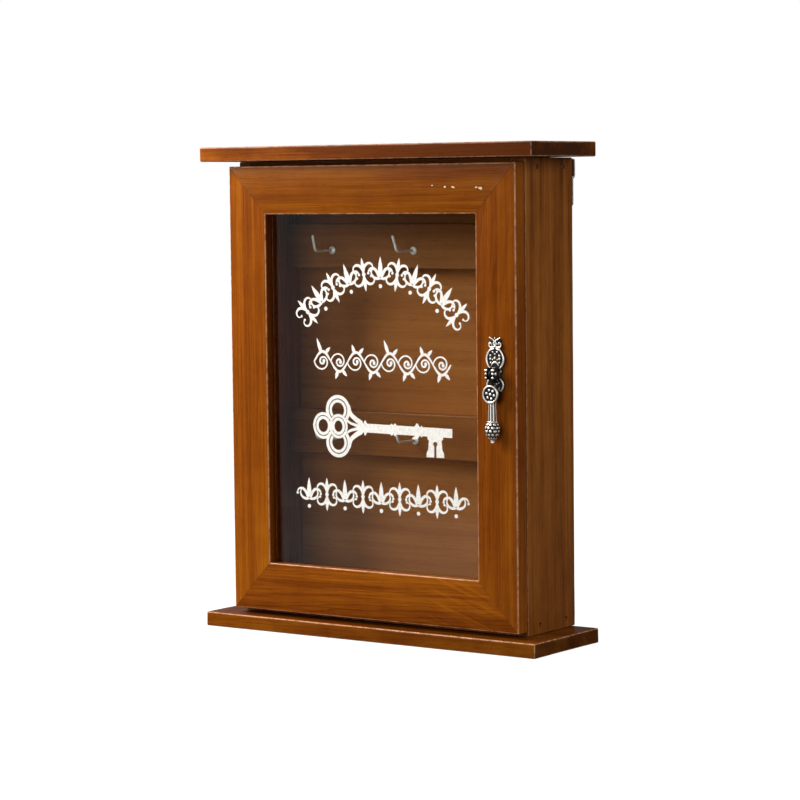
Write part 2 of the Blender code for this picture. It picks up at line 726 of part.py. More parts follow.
def build_plate():
    """The ornamental backplate, an outline with thickness, bored for the post."""
    curve = bpy.data.curves.new("handle_backplate", "CURVE")
    curve.dimensions = "2D"
    curve.fill_mode = "BOTH"
    curve.extrude = PLATE_THICKNESS / 2
    outline = plate_outline()
    spline = curve.splines.new("POLY")
    spline.points.add(len(outline) - 1)
    for point, (x, z) in zip(spline.points, outline):
        point.co = (x, z, 0.0, 1.0)
    spline.use_cyclic_u = True
    flat = bpy.data.objects.new("plate_outline", curve)
    CUTTERS.objects.link(flat)
    middle = (HANDLE_X, (PLATE_BACK_Y + PLATE_FRONT_Y) / 2, POST_Z + PLATE_ABOVE_POST)
    upright = Matrix.Translation(middle) @ Matrix.Rotation(math.pi / 2, 4, "X")
    plate = placed("handle_backplate", baked(flat), upright)
    bore = ((HANDLE_X, PLATE_FRONT_Y - OVERSHOOT, POST_Z),
            (HANDLE_X, PLATE_BACK_Y + OVERSHOOT, POST_Z), POST_SHANK_RADIUS + FIT)
    paint_bronze(cut(plate, tool("plate_bore", rods=[bore])))


def build_post():
    """The forked post, its threaded shank through the stile, its nut and its cross pin."""
    rear = PLATE_FRONT_Y - FIT
    low = (HANDLE_X - POST_WIDTH / 2, POST_FRONT_Y, POST_Z - POST_HEIGHT / 2)
    high = (HANDLE_X + POST_WIDTH / 2, rear, POST_Z + POST_HEIGHT / 2)
    post = box("pull_post", low, high, CASE_EDGE_ROUND)
    shank_end = DOOR_BACK_Y + FIT + NUT_THICKNESS + POST_THREAD_BEYOND_NUT
    shank = ((HANDLE_X, rear - OVERSHOOT, POST_Z), (HANDLE_X, shank_end, POST_Z),
             POST_SHANK_RADIUS)
    join(post, tool("post_shank", rods=[shank]))
    slot = ((HANDLE_X - POST_EAR_GAP / 2, POST_FRONT_Y - OVERSHOOT, low[2] - OVERSHOOT),
            (HANDLE_X + POST_EAR_GAP / 2, PULL_Y + PULL_EYE_RADIUS + FIT, high[2] + OVERSHOOT))
    cut(post, tool("post_slot", boxes=[slot]))
    reach = POST_WIDTH / 2 + OVERSHOOT
    hole = ((HANDLE_X - reach, PULL_Y, POST_Z), (HANDLE_X + reach, PULL_Y, POST_Z),
            PULL_PIN_RADIUS + FIT)
    paint_bronze(cut(post, tool("post_pin_hole", rods=[hole])))
    shape = bmesh.new()
    add_rod(shape, (HANDLE_X - POST_WIDTH / 2, PULL_Y, POST_Z),
            (HANDLE_X + POST_WIDTH / 2, PULL_Y, POST_Z), PULL_PIN_RADIUS)
    soften(paint_bronze(place_mesh("pull_pin", shape, PARTS)))
    near = DOOR_BACK_Y + FIT
    shape = bmesh.new()
    add_rod(shape, (HANDLE_X, near, POST_Z), (HANDLE_X, near + NUT_THICKNESS, POST_Z),
            NUT_ACROSS_FLATS / math.sqrt(3), steps=6)
    nut = place_mesh("post_nut", shape, PARTS)
    bore = ((HANDLE_X, near - OVERSHOOT, POST_Z),
            (HANDLE_X, near + NUT_THICKNESS + OVERSHOOT, POST_Z), POST_SHANK_RADIUS + FIT)
    paint_steel(cut(nut, tool("nut_bore", rods=[bore])))


def build_pull():
    """The drop: an eye on the pin, a rosette, a stem and an acorn-shaped end, cast flat."""
    hub = bpy.data.objects.new("pull_pivot", None)
    PARTS.objects.link(hub)
    hub.location = (HANDLE_X, PULL_Y, POST_Z)
    neck = 0.6 * STEM_RADIUS
    start = -PULL_EYE_RADIUS / 2 - PULL_PIN_RADIUS
    bulb_top = BULB_LENGTH - PULL_LENGTH
    profile = [(0.0, start), (neck, start),
               (neck, -ROSETTE_DROP + ROSETTE_RADIUS * 0.5),
               (STEM_RADIUS, -ROSETTE_DROP), (STEM_RADIUS * 1.15, bulb_top)]
    outline = ((0.85, 0.08), (1.0, 0.30), (0.92, 0.50), (0.70, 0.68), (0.42, 0.80),
               (0.24, 0.86), (0.26, 0.95))
    profile += [(BULB_RADIUS * size, bulb_top - BULB_LENGTH * share) for size, share in outline]
    profile.append((0.0, -PULL_LENGTH))
    mesh = baked(turned("stem", profile, CUTTERS))
    mesh.transform(Matrix.Diagonal((1.0, PULL_FLATNESS, 1.0, 1.0)))
    mesh.transform(Matrix.Translation((0.0, PULL_SET_BACK, 0.0)))
    pull = placed("drop_pull", mesh, Matrix())
    pull.parent = hub
    centre = Vector(hub.location)
    disc_z = centre.z - ROSETTE_DROP
    disc = ((centre.x, centre.y + ROSETTE_BACK, disc_z),
            (centre.x, centre.y - ROSETTE_FRONT, disc_z), ROSETTE_RADIUS, ROSETTE_RADIUS * 0.8)
    join(pull, tool("rosette_disc", rods=[disc], steps=FINE_STEPS))
    half = PULL_EYE_WIDTH / 2
    eye = ((centre.x - half, centre.y, centre.z), (centre.x + half, centre.y, centre.z),
           PULL_EYE_RADIUS)
    join(pull, tool("pull_eye", rods=[eye]))
    bore = ((centre.x - 2 * half, centre.y, centre.z), (centre.x + 2 * half, centre.y, centre.z),
            PULL_PIN_RADIUS + FIT)
    paint_bronze(cut(pull, tool("pull_eye_bore", rods=[bore])))


# --- Wall hangers ---------------------------------------------------------------------
def hanger_top_z():
    """The top of both hanger plates."""
    return CASE_HIGH_Z - HANGER_BELOW_BOARD


def hanger_holes(name, sign):
    """Helpers for a hanger's two screws, one for the plate and one for the wood."""
    flat = HANGER_HEIGHT - HANGER_RAISED - HANGER_STEP
    middle = hanger_top_z() - HANGER_HEIGHT + flat / 2
    rear = REAR_Y + FIT + HANGER_THICKNESS
    heads = [(sign * CATCH_X, rear, middle - HANGER_SCREW_SPREAD / 2),
             (sign * CATCH_X, rear, middle + HANGER_SCREW_SPREAD / 2)]
    sinks, pilots = screw_holes(name + "_hanger", heads, (0, -1, 0))
    return sinks, pilots, heads


def build_hangers():
    """Joggled steel plates on the rear edges of the sides, slotted for wall screws."""
    mesh = screw_mesh()
    for name, sign in (("left", -1), ("right", 1)):
        shape = bmesh.new()
        top = hanger_top_z()
        bottom = top - HANGER_HEIGHT
        bend = top - HANGER_RAISED
        near, far = REAR_Y + FIT, REAR_Y + FIT + HANGER_STEP
        half = HANGER_WIDTH / 2
        thick = HANGER_THICKNESS
        side_view = [(near, bottom), (near, bend - HANGER_STEP), (far, bend), (far, top),
                     (far + thick, top), (far + thick, bend - thick * 0.4),
                     (near + thick, bend - HANGER_STEP - thick * 0.4), (near + thick, bottom)]
        ring = [shape.verts.new((sign * CATCH_X - half, y, z)) for y, z in side_view]
        face = shape.faces.new(ring)
        grown = bmesh.ops.extrude_face_region(shape, geom=[face])["geom"]
        moved = [part for part in grown if isinstance(part, bmesh.types.BMVert)]
        bmesh.ops.translate(shape, verts=moved, vec=(HANGER_WIDTH, 0, 0))
        plate = paint_steel(place_mesh(name + "_wall_hanger", shape, PARTS))
        sinks, pilots, heads = hanger_holes(name + "_plate", sign)
        drop_tools(pilots)
        cut(plate, sinks)
        slot_low = bend + OVERSHOOT
        slot = ((sign * CATCH_X - HANGER_SLOT_WIDTH / 2, near, slot_low),
                (sign * CATCH_X + HANGER_SLOT_WIDTH / 2, far + 2 * thick,
                 slot_low + HANGER_SLOT_HEIGHT))
        cut(plate, tool(name + "_hanger_slot", boxes=[slot]))
        for number, head in enumerate(heads, start=1):
            item = placed(f"{name}_hanger_screw_{number}", mesh, facing(head, (0, 1, 0)))
            soften(paint_steel(item))


# --- Key emblem -----------------------------------------------------------------------
def build_emblem():
    """A key-shaped white transfer on the glass, one flat piece made of joined shapes."""
    back = GLASS_FRONT_Y - FIT
    middle_z = DOOR_MID_Z + EMBLEM_OFFSET_Z
    left = EMBLEM_OFFSET_X - EMBLEM_LENGTH / 2
    ring = BOW_RING_RADIUS
    bow_x = left + 2.15 * ring
    tip = left + EMBLEM_LENGTH
    shaft = box("key_transfer", (bow_x + 0.75 * ring, back - EMBLEM_THICKNESS, middle_z - SHAFT_HALF),
                (tip, back, middle_z + SHAFT_HALF))
    paint_white(shaft)
    centres = {"left": (left + ring, middle_z), "upper": (bow_x, middle_z + 1.05 * ring),
               "lower": (bow_x, middle_z - 1.05 * ring), "middle": (bow_x, middle_z)}
    hole = BOW_HOLE_RADIUS
    inset = EMBLEM_THICKNESS * 0.08
    for index, (x, z) in enumerate(centres.values(), start=1):
        disc = ((x, back - index * inset, z),
                (x, back - EMBLEM_THICKNESS - index * inset, z), ring)
        join(shaft, tool(f"bow_disc_{index}", rods=[disc], steps=FINE_STEPS))
    bit_low = (tip - 2.3 * SHAFT_HALF - BIT_WIDTH, back - EMBLEM_THICKNESS - inset,
               middle_z - BIT_DROP)
    bit_high = (tip - 2.3 * SHAFT_HALF, back - inset, middle_z)
    join(shaft, tool("bit", boxes=[(bit_low, bit_high)]))
    notch_x = (bit_low[0] + bit_high[0]) / 2
    notch = ((notch_x - 0.15 * SHAFT_HALF, back - OVERSHOOT, bit_low[2] - OVERSHOOT),
             (notch_x + 0.15 * SHAFT_HALF, back + OVERSHOOT, middle_z - 2 * SHAFT_HALF))
    cut(shaft, tool("bit_notch", boxes=[notch]))
    holes = [((x, back + OVERSHOOT, z), (x, back - OVERSHOOT, z), hole)
             for (x, z) in (centres["left"], centres["middle"])]
    holes += [((x, back + OVERSHOOT, z), (x, back - OVERSHOOT, z), hole)
              for (x, z) in ((bow_x, middle_z + 1.35 * ring), (bow_x, middle_z - 1.35 * ring))]
    cut(shaft, tool("bow_holes", rods=holes, steps=FINE_STEPS))


build_boards()
build_sides()
build_panels()
build_back()
build_brads()
build_rails_and_hooks()
build_door_frame()
build_glazing()
build_hinges()
build_catch()
build_plate()
build_post()
build_pull()
build_hangers()
build_emblem()
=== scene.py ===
"""Looks of a wooden wall key cabinet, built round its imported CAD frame.

Units are metres, +Z is up and the front faces -Y.  Each sub-assembly is a class that reads
where its CAD nodes are, works its shapes out as numpy surfaces and dresses them.  Wood, glass,
print and metals are procedural finishes on Object coordinates; a surface's own "wear"
attribute is 1 on its arrises and raised ornament and 0 on its flats and hollows.
"""

import logging
import math
from dataclasses import dataclass
from enum import Enum

import bmesh
import bpy
import numpy as np
from mathutils import Matrix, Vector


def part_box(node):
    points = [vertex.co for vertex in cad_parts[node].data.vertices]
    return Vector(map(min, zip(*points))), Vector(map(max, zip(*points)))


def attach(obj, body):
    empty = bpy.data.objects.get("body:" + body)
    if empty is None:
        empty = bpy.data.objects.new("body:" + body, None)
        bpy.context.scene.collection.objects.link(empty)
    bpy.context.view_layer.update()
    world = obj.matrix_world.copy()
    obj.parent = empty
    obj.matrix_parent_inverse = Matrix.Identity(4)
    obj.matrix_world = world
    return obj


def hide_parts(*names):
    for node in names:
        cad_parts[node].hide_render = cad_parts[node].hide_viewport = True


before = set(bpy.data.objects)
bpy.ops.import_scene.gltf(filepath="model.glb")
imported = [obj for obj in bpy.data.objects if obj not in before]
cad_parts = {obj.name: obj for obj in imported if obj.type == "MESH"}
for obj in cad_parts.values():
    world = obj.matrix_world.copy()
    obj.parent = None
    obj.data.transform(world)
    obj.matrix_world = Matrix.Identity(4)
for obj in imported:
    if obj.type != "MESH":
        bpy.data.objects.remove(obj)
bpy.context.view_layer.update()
LOG = logging.getLogger("key_cabinet")

Array = np.ndarray
Socket = bpy.types.NodeSocket
Material = bpy.types.Material
Pair = tuple[float, float]
Triple = tuple[float, float, float]
Colour = tuple[float, float, float, float]
MM = 0.001
WELD = 1e-7
RIM_STEPS = 4
SHARP = math.radians(32)
FULL_TURN = 2 * math.pi
WHITE = (1.0, 1.0, 1.0, 1.0)
CHIP_WIDTH = 1.7
# Width of a board over which its painted shade darkens towards the right end.
RIGHT_END_SHADE_WIDTH = 0.26


# --- Surfaces ---
@dataclass
class Surface:
    """Points, blocks of faces with equal corner counts, and the wear of each point."""

    points: Array
    faces: list[Array]
    wear: Array

    def placed(self, origin: Array, across: Array, along: Array, out: Array) -> "Surface":
        """The surface with its local (a, b, c) at origin + a across + b along + c out.

        Args:
            origin: Where the local origin goes.
            across, along, out: Directions of the three local axes.

        Returns:
            A new surface in the row frame.
        """
        axes = np.array([across, along, out], float)
        return Surface(self.points @ axes + np.asarray(origin, float), self.faces, self.wear)


def joined(surfaces: list[Surface]) -> Surface:
    """One surface that holds several, with their faces renumbered."""
    starts = np.cumsum([0] + [len(item.points) for item in surfaces])
    faces = [block + start for item, start in zip(surfaces, starts) for block in item.faces]
    points = np.concatenate([item.points for item in surfaces])
    return Surface(points, faces, np.concatenate([item.wear for item in surfaces]))


def sheet(points: Array, wear: Array | float = 0.0, close_rows: bool = False,
          close_columns: bool = False, caps: bool = False) -> Surface:
    """A grid of points as quads: point (i, j) joins (i + 1, j) and (i, j + 1).

    Args:
        points: Rows x columns x 3 array.
        wear: Wear of each point, or one value.
        close_rows, close_columns: Whether the last one joins the first.
        caps: Whether the first and the last row are filled as faces.
    """
    rows, columns = points.shape[:2]
    row = np.arange(rows if close_rows else rows - 1)[:, None]
    column = np.arange(columns if close_columns else columns - 1)[None, :]
    below = (row + 1) % rows * columns
    beside = (column + 1) % columns
    corners = (row * columns + column, row * columns + beside, below + beside, below + column)
    quads = np.stack(np.broadcast_arrays(*corners), -1).reshape(-1, 4)
    faces = [quads]
    if caps:
        ring = np.arange(columns)[None, :]
        faces += [ring, ring + (rows - 1) * columns]
    spread = np.broadcast_to(np.asarray(wear, float), (rows, columns)).reshape(-1)
    return Surface(points.reshape(-1, 3), faces, spread.copy())


def angles(steps: int) -> Array:
    """Even angles once round, without the last."""
    return np.arange(steps) * FULL_TURN / steps


def turned(radius: Array, height: Array, steps: int = 40, wear: Array | float = 0.0,
           flatness: float = 1.0, close_rows: bool = False) -> Surface:
    """A profile carried round local +Z: (r cos a, flatness r sin a, h) at row r, h and angle a.

    Args:
        radius, height: Those of each row, or of each row and angle.
        steps: How many angles.
        wear: Wear of each point, or one value.
        flatness: How much the second axis is squeezed.
        close_rows: Whether the profile is a closed loop, as for a ring.

    Returns:
        The turned surface; a pole is a ring of equal points, which weld.
    """
    radius, height = np.asarray(radius, float), np.asarray(height, float)
    angle = angles(steps)
    if radius.ndim == 1:
        radius = np.repeat(radius[:, None], steps, 1)
    if height.ndim == 1:
        height = np.repeat(height[:, None], steps, 1)
    places = (radius * np.cos(angle), flatness * radius * np.sin(angle), height)
    if np.ndim(wear) == 1:
        wear = np.asarray(wear)[:, None]
    return sheet(np.stack(places, -1), wear, close_rows=close_rows, close_columns=True)


def rivet(radii: list[float], rises: list[float], length: float, steps: int,
          wear: float) -> Surface:
    """A pin with two like heads: their radii and heights in millimetres, from the crown."""
    radius, rise = MM * np.array(radii), MM * np.array(rises)
    height = np.concatenate([length / 2 + rise, -length / 2 - rise[::-1]])
    return turned(np.concatenate([radius, radius[::-1]]), height, steps, wear)


def unit(vectors: Array) -> Array:
    """Vectors scaled to length one, row by row."""
    vectors = np.asarray(vectors, float)
    return vectors / np.linalg.norm(vectors, axis=-1, keepdims=True)


def swept(path: Array, up: Array, section: Array, scale: Array, wear: Array | float = 0.0,
          closed: bool = False) -> Surface:
    """A section carried along a path: path + section side x side + section up x up.

    Args:
        path: N x 3 points.
        up: Direction that the section's second axis keeps to.
        section: M x 2 closed outline.
        scale: N x 2 sizes of the section at each point of the path.
        wear: Wear of each of the section's points, or one value.
        closed: Whether the path is a loop.

    Returns:
        A closed surface.
    """
    path, scale = np.asarray(path, float), np.asarray(scale, float)
    if closed:
        run = np.roll(path, -1, 0) - np.roll(path, 1, 0)
    else:
        run = np.gradient(path, axis=0)
    side = unit(np.cross(unit(run), np.asarray(up, float)))
    upward = np.cross(side, unit(run))
    a = section[None, :, 0, None] * scale[:, None, 0, None] * side[:, None, :]
    b = section[None, :, 1, None] * scale[:, None, 1, None] * upward[:, None, :]
    if np.ndim(wear) == 1:
        wear = np.broadcast_to(np.asarray(wear)[None, :], (len(path), len(section)))
    return sheet(path[:, None, :] + a + b, wear, close_rows=closed, close_columns=True,
                 caps=not closed)


def with_round_ends(path: Array, radius: Array, steps: int = 5) -> tuple[Array, Array]:
    """A path and its radii with a quarter-circle taper added past both ends."""
    turn = np.linspace(0, math.pi / 2, steps + 1)[1:]
    head = unit(path[0] - path[1])[None, :] * radius[0] * np.sin(turn)[:, None]
    tail = unit(path[-1] - path[-2])[None, :] * radius[-1] * np.sin(turn)[:, None]
    thin = np.maximum(np.cos(turn), 0.02)
    full_path = np.concatenate([(path[0] + head)[::-1], path, path[-1] + tail])
    full_radius = np.concatenate([(radius[0] * thin)[::-1], radius, radius[-1] * thin])
    return full_path, full_radius


def circle(steps: int) -> Array:
    """A round section of radius one."""
    angle = angles(steps)
    return np.stack([np.cos(angle), np.sin(angle)], -1)


def wire(path: Array, radius: float, up: Array, steps: int = 14) -> Surface:
    """A round wire of one radius along a path, with rounded ends."""
    path = np.asarray(path, float)
    full, radii = with_round_ends(path, np.full(len(path), radius))
    return swept(full, up, circle(steps), np.stack([radii, radii], -1))


def clothoid(start: Array, heading: float, length: float, bend_start: float, bend_end: float,
             steps: int = 40) -> Array:
    """A flat scroll line whose curvature changes evenly along its length.

    At arc length s it heads to heading + bend_start s + (bend_end - bend_start) s^2 / 2L.

    Args:
        start: First point.
        heading: Direction at the start, in radians.
        length: Arc length L.
        bend_start, bend_end: Curvature at its ends, in radians a metre.
        steps: How many stretches.

    Returns:
        (steps + 1) x 2 points.
    """
    middle = (np.arange(steps) + 0.5) * length / steps
    angle = heading + bend_start * middle + (bend_end - bend_start) * middle ** 2 / (2 * length)
    moves = np.stack([np.cos(angle), np.sin(angle)], -1) * length / steps
    return np.concatenate([[start], np.asarray(start) + np.cumsum(moves, 0)])


def rounded_outline(corners: list[Pair], radii: list[float],
                    steps: int = 5) -> tuple[Array, Array]:
    """A closed outline whose corners are arcs, and the wear of its points.

    Args:
        corners: The sharp corners, in order.
        radii: The arc's radius at each corner.
        steps: Stretches of each arc.

    Returns:
        M x 2 points, and 1 on the middle of outward arcs falling to 0 on the flats.
    """
    points, wear = [], []
    sharp = np.asarray(corners, float)
    area = 0.5 * np.sum(sharp[:, 0] * np.roll(sharp[:, 1], -1)
                        - np.roll(sharp[:, 0], -1) * sharp[:, 1])
    for index, radius in enumerate(radii):
        corner = sharp[index]
        before = unit(sharp[index - 1] - corner)
        after = unit(sharp[(index + 1) % len(sharp)] - corner)
        half = math.acos(float(np.clip(before @ after, -1, 1))) / 2
        centre = corner + unit(before + after) * radius / math.sin(half)
        first = corner + before * radius / math.tan(half) - centre
        last = corner + after * radius / math.tan(half) - centre
        share = np.linspace(0, 1, steps + 1)[:, None]
        span = math.pi - 2 * half
        blend = (np.sin((1 - share) * span) * first + np.sin(share * span) * last)
        points.append(centre + blend / math.sin(span))
        outward = (before[0] * after[1] - before[1] * after[0]) * area < 0
        wear.append(np.sqrt(np.abs(np.sin(share[:, 0] * math.pi))) * outward)
    return np.concatenate(points), np.concatenate(wear)


def bar(outline: Array, wear: Array, half_length: float, taper: float = 0.0,
        chamfer: float = 0.12 * MM) -> Surface:
    """A straight bar: its outline (w, d) carried along s, out to half_length - taper w.

    Args:
        outline: M x 2 closed outline.
        wear: Wear of each of the outline's points.
        half_length: Half the length at w = 0.
        taper: How much each end draws in for each metre of w, as on a mitre.
        chamfer: How much the outline shrinks at the very ends.

    Returns:
        A closed surface in local (s, w, d).
    """
    share = np.linspace(-1, 1, 21)
    reach = half_length - taper * outline[:, 0]
    run = np.concatenate([[-1.0], share, [1.0]])[:, None] * reach[None, :]
    run[1] += chamfer
    run[-2] -= chamfer
    middle = outline.mean(0)
    size = np.ptp(outline, axis=0)
    shrink = np.ones((len(run), 2))
    shrink[[0, -1]] = 1 - 2 * chamfer / size
    cross = middle + (outline - middle)[None, :, :] * shrink[:, None, :]
    points = np.concatenate([run[:, :, None], cross], -1)
    ends = np.zeros((len(run), len(outline)))
    ends[[0, -1]] = 0.15
    return sheet(points, np.maximum(ends, wear[None, :]), close_columns=True, caps=True)


def wobble(points: Array) -> Array:
    """A smooth unevenness between about -1 and 1: a sum of three sines of place."""
    waves = np.array([[105.0, 77.0, 121.0], [270.0, -190.0, 233.0], [-510.0, 430.0, 587.0]])
    return np.sin(points @ waves.T + [0.3, 1.7, 4.1]) @ np.array([0.5, 0.3, 0.2])


@dataclass(frozen=True)
class Pit:
    """A round dimple in one face of a block.

    Attributes:
        axis: The face's normal axis.
        side: -1 for the low face and 1 for the high face.
        centre: Its place on the two other axes.
        radius, depth: Its size.
    """

    axis: int
    side: int
    centre: Pair
    radius: float
    depth: float


@dataclass(frozen=True)
class Block:
    """A board with rounded, slightly uneven arrises.

    Attributes:
        low, high: Its lowest and highest corner.
        rounding: The radius of its arrises.
        unevenness: How much that radius wanders, as a share of it.
        pits: Dimples in its faces.
    """

    low: Triple
    high: Triple
    rounding: float
    unevenness: float = 0.3
    pits: tuple[Pit, ...] = ()

    def lines(self, axis: int) -> tuple[Array, Array, Array]:
        """The grid lines along one axis.

        Returns:
            Places on the inner box, slopes of the rounded rim, and which lines are rim.
        """
        half = (self.high[axis] - self.low[axis]) / 2
        inner = half - self.rounding
        rim = np.tan(np.linspace(-math.pi / 4, 0, RIM_STEPS + 1))
        support = inner - min(0.6 * self.rounding, 0.3 * inner)
        flats = [np.linspace(-support, support, 12)]
        middle = (self.high[axis] + self.low[axis]) / 2
        spread = np.array([0, 0.25, 0.5, 0.7, 0.85, 0.95, 1.05, 1.2, 1.5])
        for pit in self.pits:
            if pit.axis != axis:
                others = [other for other in range(3) if other != pit.axis]
                place = pit.centre[others.index(axis)] - middle
                flats.append(place + pit.radius * np.concatenate([-spread, spread]))
        flat = np.unique(np.round(np.concatenate(flats), 7))
        flat = flat[np.abs(flat) <= support + WELD]
        places = np.concatenate([np.full(len(rim), -inner), flat, np.full(len(rim), inner)])
        slopes = np.concatenate([rim, np.zeros(len(flat)), -rim[::-1]])
        on_rim = np.concatenate([np.ones(len(rim)), np.zeros(len(flat)), np.ones(len(rim))])
        return places, slopes, on_rim > 0

    def face(self, axis: int, side: int) -> Surface:
        """One face: inner box + radius x direction, less the depth of its pits."""
        low, high = np.array(self.low), np.array(self.high)
        half, middle = (high - low) / 2, (high + low) / 2
        first, second = [other for other in range(3) if other != axis]
        a, slope_a, rim_a = self.lines(first)
        b, slope_b, rim_b = self.lines(second)
        shape = (len(a), len(b), 3)
        base, direction, rim = np.zeros(shape), np.zeros(shape), np.zeros(shape, bool)
        base[..., first], base[..., second] = a[:, None], b[None, :]
        base[..., axis] = side * (half[axis] - self.rounding)
        direction[..., first], direction[..., second] = slope_a[:, None], slope_b[None, :]
        direction[..., axis] = side
        rim[..., first], rim[..., second] = rim_a[:, None], rim_b[None, :]
        rim[..., axis] = True
        direction = unit(direction)
        radius = self.rounding * (1 + self.unevenness * wobble(base + middle))[..., None]
        points = np.where(rim, np.sign(base) * (half - radius), base) + radius * direction
        points = points + middle
        for pit in self.pits:
            if (pit.axis, pit.side) == (axis, side):
                away = np.hypot(points[..., first] - pit.centre[0],
                                points[..., second] - pit.centre[1]) / pit.radius
                fall = np.clip((1.1 - away) / 0.25, 0, 1)
                points[..., axis] -= side * pit.depth * fall * fall * (3 - 2 * fall)
        wear = np.clip((1 - np.abs(direction).max(-1)) / (1 - math.sqrt(0.5)), 0, 1)
        return sheet(points, wear)

    def surface(self) -> Surface:
        """All six faces."""
        return joined([self.face(axis, side) for axis in range(3) for side in (-1, 1)])


# --- Finishes ---
def stained(red: int, green: int, blue: int) -> Colour:
    """A display colour as the linear colour that a shader takes."""
    share = [value / 255 for value in (red, green, blue)]
    return (*[s / 12.92 if s <= 0.04045 else ((s + 0.055) / 1.055) ** 2.4 for s in share], 1.0)


class Graph:
    """Short calls that add and link the nodes of one material or world."""

    def __init__(self, name: str, world: bool = False) -> None:
        """Start a material with its Principled shader, or a world with its background."""
        self.owner = (bpy.data.worlds if world else bpy.data.materials).new(name)
        self.owner.use_nodes = True
        self.tree = self.owner.node_tree
        self.shader = self.tree.nodes["Background" if world else "Principled BSDF"]

    def feed(self, socket: Socket, value: object) -> None:
        """Link a socket to another socket, or set its value."""
        if isinstance(value, Socket):
            self.tree.links.new(value, socket)
        else:
            socket.default_value = value

    def node(self, kind: str, inputs: dict, **settings: object) -> bpy.types.Node:
        """Add a node.

        Args:
            kind: The node's type name.
            inputs: Values or sockets for its inputs, by name or number.
            **settings: Its other properties.
        """
        node = self.tree.nodes.new(kind)
        for key, value in settings.items():
            setattr(node, key, value)
        for key, value in inputs.items():
            self.feed(node.inputs[key], value)
        return node

    def shade(self, **values: object) -> None:
        """Set or link the shader's inputs, with _ for the spaces of their names."""
        for key, value in values.items():
            self.feed(self.shader.inputs[key.replace("_", " ")], value)

    def place(self) -> Socket:
        """Object coordinates."""
        return self.node("ShaderNodeTexCoord", {}).outputs["Object"]

    def wear(self) -> Socket:
        """The surface's wear."""
        return self.node("ShaderNodeAttribute", {}, attribute_name="wear").outputs["Fac"]

    def mapped(self, vector: Socket, location: tuple = (0, 0, 0),
               rotation: tuple = (0, 0, 0), scale: tuple = (1, 1, 1)) -> Socket:
        """Coordinates scaled, turned and moved."""
        inputs = {"Vector": vector, "Location": location, "Rotation": rotation, "Scale": scale}
        return self.node("ShaderNodeMapping", inputs).outputs[0]

    def axis(self, index: int) -> Socket:
        """One of the Object coordinates."""
        return self.node("ShaderNodeSeparateXYZ", {0: self.place()}).outputs[index]

    def vectors(self, operation: str, a: object, b: tuple = (0, 0, 0)
                ) -> bpy.types.bpy_prop_collection:
        """One sum of two vectors: its outputs, Vector and Value."""
        return self.node("ShaderNodeVectorMath", {0: a, 1: b}, operation=operation).outputs

    def noise(self, vector: Socket, scale: tuple, detail: float = 2.0,
              roughness: float = 0.5, distortion: float = 0.0) -> Socket:
        """Noise between about 0 and 1, stretched by a scale on each axis."""
        inputs = {"Vector": self.mapped(vector, scale=scale), "Scale": 1.0, "Detail": detail,
                  "Roughness": roughness, "Distortion": distortion}
        return self.node("ShaderNodeTexNoise", inputs).outputs["Fac"]

    def maths(self, operation: str, a: object, b: object = 0.0, clamp: bool = False
              ) -> Socket:
        """One sum of two values."""
        return self.node("ShaderNodeMath", {0: a, 1: b}, operation=operation,
                         use_clamp=clamp).outputs[0]

    def times(self, a: object, b: object, clamp: bool = False) -> Socket:
        """One product of two values."""
        return self.maths("MULTIPLY", a, b, clamp)

    def ramp(self, factor: Socket, stops: list[tuple[float, object]],
             ease: bool = False) -> Socket:
        """A colour ramp; a stop's value is a grey or a colour."""
        node = self.node("ShaderNodeValToRGB", {"Fac": factor})
        node.color_ramp.interpolation = "EASE" if ease else "LINEAR"
        elements = node.color_ramp.elements
        for index, (place, value) in enumerate(stops):
            element = elements[index] if index < 2 else elements.new(place)
            element.position = place
            element.color = value if isinstance(value, tuple) else (value, value, value, 1.0)
        return node.outputs["Color"]

    def mix(self, factor: object, a: object, b: object, blend: str = "MIX"
            ) -> Socket:
        """A blend of two colours."""
        node = self.node("ShaderNodeMix", {}, data_type="RGBA", blend_type=blend)
        for socket, value in ((node.inputs[0], factor), (node.inputs[6], a), (node.inputs[7], b)):
            self.feed(socket, value)
        return node.outputs[2]

    def bump(self, height: Socket, distance: float, strength: float = 1.0,
             normal: Socket | None = None) -> Socket:
        """A bumped normal."""
        inputs = {"Height": height, "Distance": distance, "Strength": strength}
        if normal is not None:
            inputs["Normal"] = normal
        return self.node("ShaderNodeBump", inputs).outputs[0]


class Grain(Enum):
    """Which way the wood's fibres run; the value turns them to the pattern's first axis."""

    ACROSS = (0.0, 0.0, 0.0)
    UPRIGHT = (0.0, math.pi / 2, 0.0)


class Stain(Enum):
    """Dark, middle and light colour of stained wood."""

    DOOR = (stained(100, 45, 2), stained(131, 66, 5), stained(158, 89, 9))
    CASE = (stained(92, 46, 10), stained(130, 73, 22), stained(158, 95, 36))
    INSIDE = (stained(150, 87, 34), stained(166, 101, 45), stained(180, 116, 57))


@dataclass(frozen=True)
class Streaks:
    """A patch of light slanting streaks in the wood.

    Attributes:
        centre: Its middle, along and across the grain.
        reach: Its radius.
        slant: How far the streaks are turned from the grain, in radians.
    """

    centre: Pair
    reach: float
    slant: float


